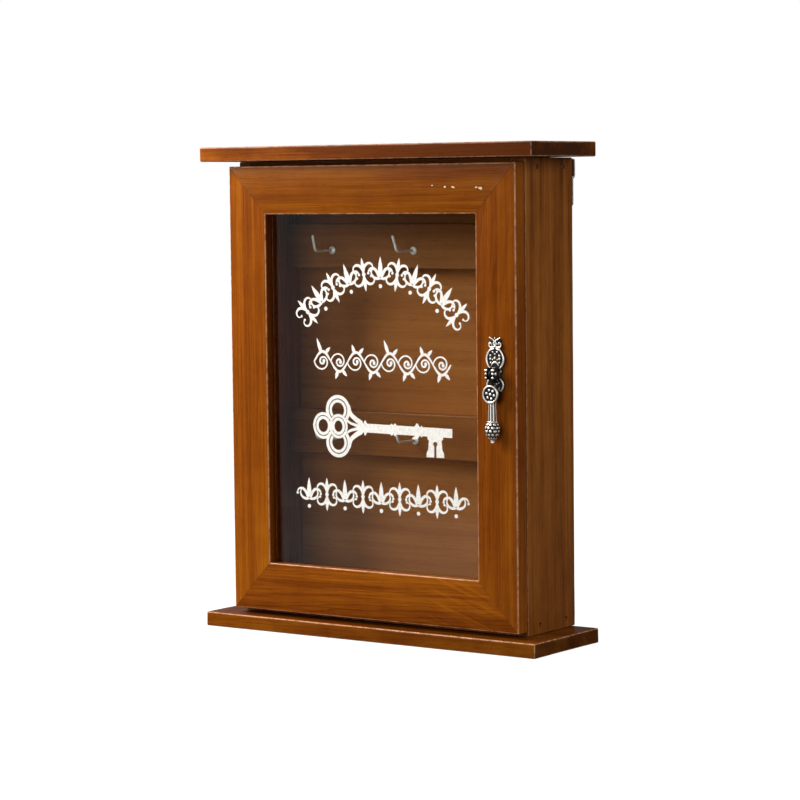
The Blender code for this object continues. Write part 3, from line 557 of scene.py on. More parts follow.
@dataclass(frozen=True)
class WoodFinish:
    """Stained and varnished softwood.

    Growth rings are cylinders round a pith that leans a little from the grain; fibres and
    stain clouds are stretched noise.

    Attributes:
        name: The material's name.
        grain: Which way the fibres run.
        stain: Its colours.
        pith: Where the pith lies, across the grain from the origin.
        lean: How far the pith leans on two axes.
        ring: The mean width of a growth ring.
        seed: Shifts the pattern along the grain.
        figure, clouding: How strongly the rings and the stain clouds show.
        gloss: Roughness of the varnish.
        arris: How light its arrises are made: partly worn varnish, partly a painted highlight along
            them.
        streaks: A patch of slanting streaks, if any.
        chips: Places (x, z) where the varnish is chipped, and how wide each chip is.
        front: Chips lie in front of this y.
        end: How far from the middle the darker end grain starts, if any.
        depth: How light this board is made: partly its own stain tone, partly painted light and
            shade for where it sits.
        right_end_shade: How much darker its right end is painted, as painted shade of the light
            falling off to the right.
    """

    name: str
    grain: Grain
    stain: Stain
    pith: Pair
    lean: Pair = (0.0, 0.0)
    ring: float = 0.0034
    seed: float = 0.0
    figure: float = 0.16
    clouding: float = 1.0
    gloss: float = 0.27
    arris: float = 0.6
    streaks: Streaks | None = None
    chips: tuple[Triple, ...] = ()
    front: float = -0.028
    end: float | None = None
    depth: float = 1.0
    right_end_shade: float = 0.0

    def rings(self, graph: Graph, along: Socket) -> Socket:
        """How dark the growth rings are, from 0 in early wood to 1 in late wood."""
        leaning = graph.mapped(along, (self.seed, -self.pith[0], -self.pith[1]),
                               (0.0, self.lean[0], self.lean[1]))
        flat = graph.vectors("MULTIPLY", leaning, (0, 1, 1))[0]
        reach = graph.vectors("LENGTH", flat)["Value"]
        sway = graph.noise(leaning, (9, 40, 40), 3.0, 0.55)
        count = graph.maths("DIVIDE", reach, self.ring)
        count = graph.maths("ADD", count, graph.times(sway, 3.0))
        uneven = graph.node("ShaderNodeTexNoise", {"W": count, "Scale": 0.45, "Detail": 1.0},
                            noise_dimensions="1D").outputs["Fac"]
        count = graph.maths("ADD", count, graph.times(uneven, 2.2))
        share = graph.maths("FRACT", count)
        return graph.ramp(share, [(0.0, 0.25), (0.45, 0.35), (0.82, 1.0), (1.0, 0.25)], True)

    def shifted(self, graph: Graph, along: Socket) -> Socket:
        """The coordinates moved to this board's own part of the pattern."""
        return graph.mapped(along, (self.seed, self.seed * 3, self.seed * 7))

    def tone(self, graph: Graph, along: Socket) -> Socket:
        """How light the wood is, from 0 to 1: half, plus each pattern less its middle."""
        shifted = self.shifted(graph, along)
        layers = [(self.rings(graph, along), -self.figure, 0.45)]
        for scale, weight in (((4, 30, 30), 1.5 * self.clouding), ((1.6, 150, 150), 0.85),
                              ((5, 420, 420), 0.55), ((22, 1500, 1500), 0.55),
                              ((70, 90, 90), 0.35 * self.clouding)):
            layers.append((graph.noise(shifted, scale), weight, 0.5))
        total = 0.5 - sum(weight * middle for _, weight, middle in layers)
        for socket, weight, _ in layers:
            total = graph.node("ShaderNodeMath", {0: socket, 1: weight, 2: total},
                               operation="MULTIPLY_ADD").outputs[0]
        return total

    def streaked(self, graph: Graph, along: Socket,
                 tone: Socket) -> Socket:
        """The tone with the patch of slanting streaks added."""
        centre = (-self.streaks.centre[0], 0.0, -self.streaks.centre[1])
        local = graph.mapped(along, centre)
        away = graph.vectors("LENGTH", graph.vectors("MULTIPLY", local, (1, 0, 1))[0])["Value"]
        near = graph.ramp(graph.maths("DIVIDE", away, self.streaks.reach),
                          [(0.25, 1.0), (1.0, 0.0)], True)
        turned_place = graph.mapped(local, rotation=(0, self.streaks.slant, 0))
        lines = graph.noise(turned_place, (9, 40, 420), 2.0, 0.5, 0.15)
        lift = graph.times(graph.ramp(lines, [(0.50, 0.0), (0.72, 0.5)]), near)
        return graph.maths("ADD", tone, lift)

    def chipped(self, graph: Graph, colour: Socket) -> Socket:
        """The colour with small ragged chips, pale in the middle and dark round it."""
        ragged = graph.noise(graph.place(), (800, 800, 800), 3.0, 0.6)
        front = graph.maths("LESS_THAN", graph.axis(1), self.front)
        flat = graph.vectors("MULTIPLY", graph.place(), (1, 0, CHIP_WIDTH))[0]
        for x, z, size in self.chips:
            away = graph.vectors("DISTANCE", flat, (x, 0, CHIP_WIDTH * z))["Value"]
            spread = graph.times(graph.maths("ADD", ragged, -0.5), 1.3 * size)
            away = graph.maths("DIVIDE", graph.maths("ADD", away, spread), size)
            rim = graph.times(graph.ramp(away, [(0.50, 1.0), (0.85, 0.0)]), front)
            core = graph.times(graph.ramp(away, [(0.30, 1.0), (0.48, 0.0)]), front)
            colour = graph.mix(graph.times(rim, 0.7), colour, stained(62, 26, 5))
            colour = graph.mix(core, colour, stained(236, 198, 160))
        return colour

    def end_grain(self, graph: Graph, colour: Socket) -> Socket:
        """The colour with the sawn ends darker, where the stain soaked in."""
        soaked = graph.maths("GREATER_THAN", graph.maths("ABSOLUTE", graph.axis(0)), self.end)
        return graph.mix(graph.times(soaked, 0.45), colour, stained(30, 14, 4))

    def material(self) -> Material:
        """Build the material."""
        graph = Graph(self.name)
        dark, middle, light = self.stain.value
        along = graph.mapped(graph.place(), rotation=self.grain.value)
        tone = self.tone(graph, along)
        if self.streaks:
            tone = self.streaked(graph, along, tone)
        colour = graph.ramp(tone, [(0.08, dark), (0.5, middle), (0.95, light)])
        shifted = self.shifted(graph, along)
        pores = graph.noise(shifted, (160, 3400, 3400), 1.0)
        pore = graph.ramp(pores, [(0.28, 0.68), (0.40, 1.0)])
        colour = graph.mix(1.0, colour, pore, "MULTIPLY")
        # Painted shade: the board's colour is darkened towards its right end, where the light falls
        # off.
        rightward = graph.maths("DIVIDE", graph.axis(0), RIGHT_END_SHADE_WIDTH)
        rightward = graph.maths("ADD", rightward, 0.5, True)
        # The board's depth scales its whole colour: partly its own stain tone, partly painted light
        # and shade.
        level = graph.maths("SUBTRACT", self.depth, graph.times(rightward, self.right_end_shade))
        colour = graph.mix(1.0, colour, level, "MULTIPLY")
        if self.chips:
            colour = self.chipped(graph, colour)
        if self.end:
            colour = self.end_grain(graph, colour)
        # Arrises lightened towards cream by the wear attribute: partly worn varnish, partly a
        # painted highlight.
        broken = graph.noise(shifted, (260, 260, 260), 2.0, 0.6)
        worn = graph.times(graph.wear(), graph.ramp(broken, [(0.36, 0.3), (0.6, 1)]))
        worn = graph.times(worn, self.arris, clamp=True)
        colour = graph.mix(worn, colour, stained(226, 168, 126))
        fibres = graph.noise(shifted, (22, 1500, 1500), 3.0, 0.6)
        rough = graph.ramp(fibres, [(0.3, self.gloss - 0.04), (0.7, self.gloss + 0.08)])
        skin = graph.noise(shifted, (90, 380, 380))
        normal = graph.bump(skin, 0.10 * MM, 0.5)
        normal = graph.bump(fibres, 0.05 * MM, 0.5, normal)
        graph.shade(Base_Color=colour, Roughness=rough, Normal=normal, Specular_IOR_Level=0.12)
        return graph.owner


@dataclass(frozen=True)
class GlassFinish:
    """Clear float glass that lets lamps through to what is behind it."""

    name: str = "clear_glass"
    tint: Colour = (0.93, 0.95, 0.94, 1.0)

    def material(self) -> Material:
        """Build the material."""
        graph = Graph(self.name)
        graph.shade(Base_Color=self.tint, Roughness=0.015, IOR=1.47, Transmission_Weight=1.0)
        clear = graph.node("ShaderNodeBsdfTransparent", {"Color": (0.90, 0.92, 0.91, 1.0)})
        path = graph.node("ShaderNodeLightPath", {})
        lamps = graph.maths("MAXIMUM", path.outputs["Is Shadow Ray"],
                            path.outputs["Is Diffuse Ray"])
        blend = graph.node("ShaderNodeMixShader", {0: lamps, 1: graph.shader.outputs[0],
                                                   2: clear.outputs[0]})
        output = graph.tree.nodes["Material Output"]
        graph.tree.links.new(blend.outputs[0], output.inputs["Surface"])
        return graph.owner


@dataclass(frozen=True)
class FilmFinish:
    """White transfer film, faintly mottled and a little thin at its edges."""

    name: str = "white_transfer_film"

    def material(self) -> Material:
        """Build the material."""
        graph = Graph(self.name)
        mottle = graph.noise(graph.place(), (900, 900, 900), 3.0, 0.6)
        colour = graph.ramp(mottle, [(0.28, stained(226, 223, 214)), (0.58, stained(252, 251, 247))])
        graph.shade(Base_Color=colour, Roughness=0.5, Normal=graph.bump(mottle, 0.02 * MM, 0.4))
        return graph.owner


@dataclass(frozen=True)
class MetalFinish:
    """A metal with fine marks and tarnish in its hollows.

    Attributes:
        name: The material's name.
        bright, dull: Colours of the clean metal and of the tarnish.
        roughness: Roughness of the clean metal.
        tarnish: Share of tarnish on flats.
        metallic: How much of it shines as bare metal rather than as dull plating.
        marks: Spatial frequency of the marks, per metre.
    """

    name: str
    bright: Colour
    dull: Colour
    roughness: float = 0.24
    tarnish: float = 0.25
    metallic: float = 1.0
    marks: float = 900.0

    def material(self) -> Material:
        """Build the material."""
        graph = Graph(self.name)
        spots = graph.noise(graph.place(), (self.marks,) * 3, 4.0, 0.6)
        grime = graph.noise(graph.place(), (self.marks / 5,) * 3, 3.0)
        cover = graph.times(graph.ramp(grime, [(0.42, 0.0), (0.68, 1.0)]), self.tarnish)
        cover = graph.times(cover, graph.maths("SUBTRACT", 1.2, graph.wear()), True)
        colour = graph.mix(cover, self.bright, self.dull)
        rough = graph.ramp(spots, [(0.3, self.roughness), (0.7, self.roughness + 0.16)])
        graph.shade(Base_Color=colour, Roughness=rough, Metallic=self.metallic)
        graph.shade(Normal=graph.bump(spots, 0.03 * MM, 0.5))
        return graph.owner


@dataclass(frozen=True)
class BronzeFinish:
    """Aged bronze casting: near-black patina in the hollows, bright rubbed ornament."""

    name: str = "aged_bronze_casting"

    def material(self) -> Material:
        """Build the material."""
        graph = Graph(self.name)
        grit = graph.noise(graph.place(), (1400, 1400, 1400), 4.0, 0.65)
        rub = graph.maths("ADD", graph.wear(), graph.times(grit, 0.5))
        rub = graph.ramp(rub, [(0.76, 0.0), (1.0, 1.0)])
        colour = graph.mix(rub, stained(22, 19, 17), stained(247, 243, 234))
        rough = graph.ramp(rub, [(0.0, 0.60), (1.0, 0.36)])
        metal = graph.ramp(rub, [(0.0, 0.4), (1.0, 0.8)])
        graph.shade(Base_Color=colour, Roughness=rough, Metallic=metal)
        graph.shade(Normal=graph.bump(grit, 0.06 * MM, 0.6))
        return graph.owner


@dataclass(frozen=True)
class Look:
    """A built material and the name of a slot."""

    material: Material
    slot: str


class Metals:
    """The metal looks that several sub-assemblies share."""

    def __init__(self) -> None:
        """Build each shared material once."""
        # The hook steel is near white and barely metallic, so the whole wire shows about as bright
        # as a glint: a painted highlight on plated steel.
        hook = MetalFinish("hook_steel_painted_glint", (1.0, 0.99, 0.96, 1), (0.70, 0.66, 0.60, 1),
                           0.28, 0.05, 0.1)
        plated = MetalFinish("zinc_plated_steel", (0.66, 0.65, 0.62, 1), (0.30, 0.28, 0.25, 1),
                             0.30, 0.35)
        dark = MetalFinish("dull_dark_steel", (0.20, 0.19, 0.18, 1), (0.07, 0.06, 0.05, 1),
                           0.42, 0.6)
        self.hook = Look(hook.material(), "hook_steel")
        self.plated = Look(plated.material(), "plated_steel")
        self.dark = Look(dark.material(), "dark_steel")
        self.bronze = Look(BronzeFinish().material(), "aged_bronze")


# --- Pieces ---
def make_piece(name: str, surface: Surface, look: Look, body: str,
               replaces: tuple[str, ...] = ()) -> None:
    """Put a surface into a mesh object that rides on a body.

    Args:
        name: The piece's name.
        surface: Its shape in the row frame.
        look: The look whose material it takes.
        body: The CAD body that it moves with.
        replaces: The CAD nodes that it stands for.
    """
    mesh = bpy.data.meshes.new(name)
    faces = [face for block in surface.faces for face in block.tolist()]
    mesh.from_pydata(surface.points.tolist(), [], faces)
    wear = mesh.attributes.new("wear", "FLOAT", "POINT")
    wear.data.foreach_set("value", surface.wear.astype(np.float32))
    shape = bmesh.new()
    shape.from_mesh(mesh)
    bmesh.ops.remove_doubles(shape, verts=shape.verts, dist=WELD)
    bmesh.ops.dissolve_degenerate(shape, edges=shape.edges, dist=WELD)
    bmesh.ops.recalc_face_normals(shape, faces=shape.faces)
    shape.to_mesh(mesh)
    shape.free()
    mesh.shade_smooth()
    mesh.set_sharp_from_angle(angle=SHARP)
    mesh.materials.append(look.material)
    piece = bpy.data.objects.new(name, mesh)
    bpy.context.scene.collection.objects.link(piece)
    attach(piece, body)
    if replaces:
        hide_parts(*replaces)
    LOG.info("%s: %d points, %d faces, on %s", name, len(mesh.vertices), len(mesh.polygons), body)


def dress(node: str, kind: str, surface: Surface, look: Look, body: str) -> None:
    """Make the piece that stands for one CAD node and takes its name from it."""
    make_piece(f"{node}_{kind}", surface, look, body, (node,))


def corners_of(node: str) -> tuple[Array, Array]:
    """A CAD node's lowest and highest corner as arrays."""
    low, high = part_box(node)
    return np.array(low), np.array(high)


def middle_of(node: str) -> Array:
    """The middle of a CAD node's box."""
    low, high = corners_of(node)
    return (low + high) / 2


def board(node: str, finish: WoodFinish, slot: str, rounding: float,
          pits: tuple[Pit, ...] = ()) -> None:
    """A rounded board of the case that stands for a CAD node of the same size."""
    low, high = corners_of(node)
    surface = Block(tuple(low), tuple(high), rounding, pits=pits).surface()
    dress(node, "wood", surface, Look(finish.material(), slot), "carcass")


X, Y, Z = np.eye(3)


def upright_basis(direction: Array) -> tuple[Array, Array, Array]:
    """Two directions across an axis, and the axis, as a right-handed set."""
    out = unit(direction)
    helper = X if abs(out[0]) < 0.9 else Z
    across = unit(np.cross(helper, out))
    return across, np.cross(out, across), out


@dataclass(frozen=True)
class Screw:
    """A countersunk wood screw with a cross recess.

    Attributes:
        head, shank: Radius of its head and of its shank.
        length: Its length.
        taper: Height of its conical head.
        recess: Half the width of the cross at its rim.
    """

    head: float = 1.6 * MM
    shank: float = 0.7 * MM
    length: float = 6.5 * MM
    taper: float = 0.8 * MM
    recess: float = 0.24 * MM

    def surface(self, place: Array, direction: Array, turn: float) -> Surface:
        """The screw.

        Args:
            place: The middle of its head's face.
            direction: Which way the head faces.
            turn: How far the cross is turned, in radians.
        """
        steps = 48
        radius = self.head * np.concatenate([[0.0], np.linspace(0.05, 0.72, 12), [0.9, 0.97]])
        angle = angles(steps) + turn
        across = radius[:, None] * np.cos(angle)
        along = radius[:, None] * np.sin(angle)
        arm = np.minimum(np.abs(across), np.abs(along)) / self.recess
        reach = np.maximum(np.abs(across), np.abs(along)) / (0.66 * self.head)
        inside = np.clip((1.25 - arm) / 0.5, 0, 1) * np.clip((1.0 - reach) / 0.25, 0, 1)
        top = -0.42 * self.taper * inside
        lower_radius = np.array([1.0 * self.head, 0.97 * self.head, self.shank * 1.05,
                                 self.shank, self.shank * 0.9, 0.0])
        lower_height = np.array([-0.05 * self.taper, -0.15 * self.taper, -self.taper,
                                 -1.3 * self.taper, -0.8 * self.length, -self.length])
        radii = np.concatenate([radius, lower_radius])
        heights = np.concatenate([top, np.repeat(lower_height[:, None], steps, 1)])
        wear = np.concatenate([0.8 - inside, np.zeros((len(lower_radius), steps))])
        shape = turned(radii, heights, steps, np.clip(wear, 0, 1))
        return shape.placed(place, *upright_basis(direction))


def screwed(node: str, direction: Array, turn: float, look: Look, body: str) -> None:
    """A screw that stands for a CAD node, its head at the end that faces a direction."""
    low, high = corners_of(node)
    place = (low + high) / 2
    place[1] = (low if direction[1] < 0 else high)[1]
    dress(node, "steel", Screw().surface(place, direction, turn), look, body)


# --- Case ---
BRAD_PLACES = ("top_front", "top_back", "bottom_front", "bottom_back")


@dataclass
class Case:
    """Top and bottom board, sides, inner panels, back panel and brads.

    Attributes:
        board_rounding: Radius of the boards' arrises.
        side_rounding: Radius of the sides' and panels' arrises.
        back_rounding: Radius of the thin back's arrises.
        brad_radius: Radius of a brad's head.
        brad_hole, brad_depth: Radius and depth of the hole over it.
        sawn_end: How far from the middle the boards' sawn ends are.
    """

    board_rounding: float = 1.1 * MM
    side_rounding: float = 0.8 * MM
    back_rounding: float = 0.25 * MM
    brad_radius: float = 0.95 * MM
    brad_hole: float = 1.60 * MM
    brad_depth: float = 1.05 * MM
    sawn_end: float = 0.1302

    def boards(self) -> None:
        """The two overhanging boards."""
        top = WoodFinish("top_board_wood", Grain.ACROSS, Stain.DOOR, (-0.05, 0.25), (0.02, 0.03),
                         seed=1.3, clouding=2.2, arris=0.8, end=self.sawn_end, depth=1.2,
                         right_end_shade=0.5)
        bottom = WoodFinish("bottom_board_wood", Grain.ACROSS, Stain.DOOR, (-0.09, -0.03),
                            (0.03, -0.02), seed=4.1, clouding=1.7, arris=0.95,
                            end=self.sawn_end, depth=0.92, right_end_shade=0.25)
        board("top_board", top, "case_wood", self.board_rounding)
        board("bottom_board", bottom, "case_wood", self.board_rounding)

    def sides(self) -> None:
        """The two sides, dimpled over their brads."""
        for name, sign, seed in (("left", -1, 2.2), ("right", 1, 6.4)):
            middles = [middle_of(f"{name}_{place}_brad") for place in BRAD_PLACES]
            pits = tuple(Pit(0, sign, (middle[1], middle[2]), self.brad_hole, self.brad_depth)
                         for middle in middles)
            finish = WoodFinish(name + "_side_wood", Grain.UPRIGHT, Stain.CASE,
                                (0.075, -sign * 0.10), (0.012, 0.02), ring=0.0044, seed=seed)
            board(name + "_side", finish, "case_wood", self.side_rounding, pits)

    def inner_panels(self) -> None:
        """The horizontal panels and the thin back."""
        for level, seed in (("top", 8.8), ("bottom", 5.6)):
            finish = WoodFinish(level + "_panel_wood", Grain.ACROSS, Stain.CASE, (0.06, 0.12),
                                seed=seed)
            board(f"case_{level}_panel", finish, "case_wood", self.side_rounding)
        finish = WoodFinish("back_panel_wood", Grain.ACROSS, Stain.INSIDE, (0.02, 0.40),
                            (0.015, 0.03), ring=0.0060, seed=3.7, figure=0.05, clouding=0.6,
                            gloss=0.5, arris=0.2)
        board("back_panel", finish, "back_wood", self.back_rounding)

    def brad(self, node: str, sign: int) -> Surface:
        """A sunk brad: a slightly domed head on a plain shank."""
        low, high = corners_of(node)
        length = high[0] - low[0]
        radius = self.brad_radius * np.array([0, 0.35, 0.7, 0.92, 1, 0.95, 0.7, 0.7, 0.4, 0])
        height = np.array([0, -0.02, -0.06, -0.14, -0.3, -0.5, -0.62]) * self.brad_radius
        height = np.concatenate([height, np.array([-0.93, -0.97, -1.0]) * length])
        wear = np.array([1, 0.9, 0.7, 0.4, 0.1, 0, 0, 0, 0, 0])
        place = middle_of(node)
        place[0] = (high if sign > 0 else low)[0]
        return turned(radius, height, 28, wear).placed(place, *upright_basis(sign * X))

    def build(self, metals: Metals) -> None:
        """Build and dress every piece of the case."""
        self.boards()
        self.sides()
        self.inner_panels()
        for side, sign in (("left", -1), ("right", 1)):
            for place in BRAD_PLACES:
                node = f"{side}_{place}_brad"
                dress(node, "steel", self.brad(node, sign), metals.dark, "carcass")


# --- Key rails and hooks ---
@dataclass
class KeyRails:
    """Two wooden rails with three screw-in hooks each.

    Attributes:
        rounding: Radius of the rails' arrises.
        wire_radius, bend_radius: Radius of the hooks' wire and of their bend.
        lean: How far their uprights lean forward, in radians.
        collar: Radius of their collars.
        twists: How far each hook is twisted in its hole, in degrees.
    """

    rounding: float = 0.9 * MM
    wire_radius: float = 0.95 * MM
    bend_radius: float = 2.6 * MM
    lean: float = math.radians(12)
    collar: float = 2.7 * MM
    twists: tuple[float, ...] = (-1.0, -9.0, 3.0, -6.0, -9.0, 0.0)

    def hook(self, node: str, rail_front: float, twist: float) -> Surface:
        """An L-shaped hook: shank, bend and upright in one wire, with a pressed collar."""
        low, high = corners_of(node)
        shank_z = low[2] + self.collar
        bend = math.pi / 2 - self.lean
        angle = np.linspace(0, bend, 12)
        tip_rise = high[2] - shank_z
        bend_rise = self.bend_radius * (1 - math.cos(bend))
        lean_run = (tip_rise - bend_rise) * math.tan(self.lean)
        front = low[1] + self.wire_radius
        bend_y = front + lean_run + self.bend_radius * math.sin(bend)
        curve = np.stack([bend_y - self.bend_radius * np.sin(angle),
                          shank_z + self.bend_radius * (1 - np.cos(angle))], -1)
        shank = np.stack([np.linspace(high[1], bend_y, 8)[:-1], np.full(7, shank_z)], -1)
        share = np.linspace(0, 1, 7)[1:, None]
        tip = np.array([front, high[2] - self.wire_radius])
        flat = np.concatenate([shank, curve, curve[-1] * (1 - share) + tip * share])
        path = np.concatenate([np.zeros((len(flat), 1)), flat], -1)
        body = wire(path, self.wire_radius, X)
        radius = self.collar * np.array([0.3, 0.98, 1.0, 0.92, 0.62, 0.42, 0.3])
        height = MM * np.array([0.0, 0.0, 0.22, 0.5, 0.85, 1.15, 1.2])
        ring = turned(radius, height, 36, np.array([0, 0, 0.6, 1, 0.7, 0.4, 0]))
        collar = ring.placed((0, rail_front - 0.02 * MM, shank_z), *upright_basis(-Y))
        shape = joined([body, collar])
        turn = np.array(Matrix.Rotation(math.radians(twist), 3, "Y"))
        pivot = np.array([0, 0, shank_z])
        shape.points = (shape.points - pivot) @ turn.T + pivot + X * middle_of(node)
        return shape

    def build(self, metals: Metals) -> None:
        """Build and dress the rails and their hooks."""
        twists = iter(self.twists)
        for level, seed in (("upper", 7.3), ("lower", 9.9)):
            node = level + "_key_rail"
            finish = WoodFinish(level + "_rail_wood", Grain.ACROSS, Stain.INSIDE, (0.05, 0.30),
                                (0.02, 0.01), seed=seed, gloss=0.46, arris=0.35, depth=0.74)
            board(node, finish, "back_wood", self.rounding)
            rail_front = corners_of(node)[0][1]
            for index in (1, 2, 3):
                hook = f"{level}_hook_{index}"
                shape = self.hook(hook, rail_front, next(twists))
                dress(hook, "steel", shape, metals.hook, "carcass")


# --- Door ---
@dataclass
class Door:
    """A mitred, rebated frame with its pane and glazing beads.

    Attributes:
        arris, back_arris: Radius of the front and the rear arrises.
        rebate: Width of the glass rebate.
        mitre_gap: Half the gap at a mitre.
        clearance: Gap between the pane and the front of its rebate.
    """

    arris: float = 0.9 * MM
    back_arris: float = 0.5 * MM
    rebate: float = 5.0 * MM
    mitre_gap: float = 0.05 * MM
    clearance: float = 0.3 * MM

    def __post_init__(self) -> None:
        """Read the frame's planes from the CAD nodes."""
        self.low = corners_of("hinge_stile")[0]
        self.high = corners_of("handle_stile")[1]
        self.stile = corners_of("hinge_stile")[1][0] - self.low[0]
        self.rail = corners_of("door_bottom_rail")[1][2] - self.low[2]
        self.glass_low, self.glass_high = corners_of("glass_pane")

    def outline(self, width: float) -> tuple[Array, Array]:
        """A frame member's section: width across, depth from its front, with the rebate."""
        depth = self.high[1] - self.low[1]
        glass = self.glass_low[1] - self.low[1] - self.clearance
        step = width - self.rebate
        corners = [(0, 0), (width, 0), (width, glass), (step, glass), (step, depth), (0, depth)]
        fine = 0.25 * MM
        radii = [self.arris, self.arris, fine, fine, fine, self.back_arris]
        return rounded_outline(corners, radii)

    def members(self) -> None:
        """The two rails and the two stiles, each with its mitres."""
        chips = ((0.0870, 0.2915, 0.0038), (0.0838, 0.2919, 0.0020), (0.0666, 0.2922, 0.0028),
                 (0.0605, 0.2924, 0.0024), (0.0507, 0.2934, 0.0016))
        across, upright = (Grain.ACROSS, Stain.DOOR), (Grain.UPRIGHT, Stain.DOOR)
        woods = {
            "door_top_rail": WoodFinish(
                "top_rail_wood", *across, (0.03, 0.37), (0.02, 0.05), 0.0030, 2.9,
                arris=0.85, chips=chips, depth=0.90, right_end_shade=0.16),
            "door_bottom_rail": WoodFinish(
                "bottom_rail_wood", *across, (0.06, -0.05), (-0.05, 0.09), 0.0022, 7.7, 0.34,
                arris=0.85, depth=1.12, right_end_shade=0.08, streaks=Streaks((0.074, 0.031), 0.042, -0.34)),
            "hinge_stile": WoodFinish(
                "hinge_stile_wood", *upright, (0.04, 0.17), (0.015, 0.03), 0.0036, 5.2,
                arris=0.85, depth=1.14),
            "handle_stile": WoodFinish(
                "handle_stile_wood", *upright, (0.05, -0.03), (-0.02, 0.05), 0.0038, 9.4,
                arris=0.85, depth=0.96)}
        middle, size = (self.low + self.high) / 2, self.high - self.low
        for (node, wood), along, inward in zip(woods.items(), (X, X, Z, Z), (-Z, Z, X, -X)):
            width, other = (self.rail, self.stile) if along is X else (self.stile, self.rail)
            origin = middle - inward * abs(size @ inward) / 2 - Y * size[1] / 2
            outline, wear = self.outline(width)
            shape = bar(outline, wear, size @ along / 2 - self.mitre_gap, other / width)
            dress(node, "wood", shape.placed(origin, along, inward, Y),
                  Look(wood.material(), "door_wood"), "door")

    def beads(self) -> None:
        """Four glazing beads, each rounded on its inner rear corner."""
        flat = WoodFinish("flat_bead_wood", Grain.ACROSS, Stain.DOOR, (0.03, 0.1), seed=0.7)
        tall = WoodFinish("upright_bead_wood", Grain.UPRIGHT, Stain.DOOR, (0.03, 0.1), seed=1.9)
        flat, tall = (Look(wood.material(), "door_wood") for wood in (flat, tall))
        for side, along, inward in (("top", X, -Z), ("bottom", X, Z), ("left", Z, X),
                                    ("right", Z, -X)):
            node = side + "_glazing_bead"
            low, high = corners_of(node)
            size, middle = high - low, (low + high) / 2
            width, depth = abs(size @ inward), size[1]
            corners = [(0, 0), (width, 0), (width, depth), (0, depth)]
            outline, wear = rounded_outline(corners, [0.15 * MM, 0.2 * MM, 1.5 * MM, 0.3 * MM])
            origin = middle - inward * width / 2 - Y * depth / 2
            shape = bar(outline, wear, abs(size @ along) / 2).placed(origin, along, inward, Y)
            dress(node, "wood", shape, flat if along is X else tall, "door")

    def build(self) -> None:
        """Build and dress the frame, the beads and the pane."""
        self.members()
        self.beads()
        pane = Block(tuple(self.glass_low), tuple(self.glass_high), 0.3 * MM, 0.0).surface()
        look = Look(GlassFinish().material(), "glass")
        make_piece("clear_pane", pane, look, "door", ("glass_pane",))


# --- Hinges and catch ---
@dataclass
class Hinges:
    """Two butt hinges: rolled leaves, pins and screws.

    Attributes:
        knuckle: Outer radius of the rolled barrel.
        thickness: Thickness of the leaf.
        gap: Gap between knuckles.
    """

    knuckle: float = 1.8 * MM
    thickness: float = 0.8 * MM
    gap: float = 0.3 * MM

    def leaf(self, node: str, side: int, pin_x: float, pin_y: float, owner: str) -> Surface:
        """A leaf rolled from one sheet: a plate all along, and a barrel at its own knuckles."""
        low, high = corners_of(node)
        mid = self.knuckle - self.thickness / 2
        plate_y = side * (self.gap / 2 + self.thickness / 2)
        free = high[0] - pin_x
        plate = np.stack([np.linspace(free, 1.5 * mid, 8), np.full(8, plate_y)], -1)
        start = math.radians(58)
        angle = np.linspace(start, math.radians(352), 28)
        barrel = mid * np.stack([np.cos(angle), side * np.sin(angle)], -1)
        line = np.concatenate([plate, barrel])
        run = unit(np.gradient(line, axis=0))
        across = np.stack([-run[:, 1], run[:, 0]], -1) * self.thickness / 2
        outer, inner = line + across, line - across
        third, half = (high[2] - low[2]) / 3, self.gap / 2
        spans = [(low[2] + third + half, high[2] - third - half)]
        if owner == "case":
            spans = [(low[2], low[2] + third - half), (high[2] - third + half, high[2])]
        section = np.concatenate([outer, inner[::-1]])
        parts = [self.extruded(section, bottom, top) for bottom, top in spans]
        flat = np.concatenate([outer[:8], inner[:8][::-1]])
        parts.append(self.extruded(flat, low[2], high[2]))
        return joined(parts).placed((pin_x, pin_y, 0), X, Y, Z)

    @staticmethod
    def extruded(section: Array, bottom: float, top: float, inset: float = 0.1 * MM) -> Surface:
        """A flat section carried up from one height to another."""
        heights = np.array([bottom, bottom + inset, top - inset, top])
        flat = np.repeat(section[None], len(heights), 0)
        rise = np.broadcast_to(heights[:, None, None], (*flat.shape[:2], 1))
        return sheet(np.concatenate([flat, rise], -1), 0.3, close_columns=True, caps=True)

    def build(self, metals: Metals) -> None:
        """Build and dress both hinges."""
        turns = iter(np.linspace(0.2, 2.9, 8))
        for level in ("upper", "lower"):
            pin = level + "_hinge_pin"
            low, high = corners_of(pin)
            pin_x, pin_y = middle_of(pin)[:2]
            for owner, side, body in (("case", 1, "carcass"), ("door", -1, "door")):
                leaf = f"{level}_hinge_{owner}_leaf"
                dress(leaf, "steel", self.leaf(leaf, side, pin_x, pin_y, owner), metals.plated,
                      body)
                for number in (1, 2):
                    screwed(f"{level}_hinge_{owner}_screw_{number}", -side * Y, next(turns),
                            metals.plated, body)
            shape = rivet([0, 0.6, 1.0, 1.15, 1.1, 0.7], [0.42, 0.38, 0.25, 0.1, 0.02, 0],
                          high[2] - low[2], 28, 0.5).placed(middle_of(pin), X, Y, Z)
            dress(pin, "steel", shape, metals.plated, "carcass")


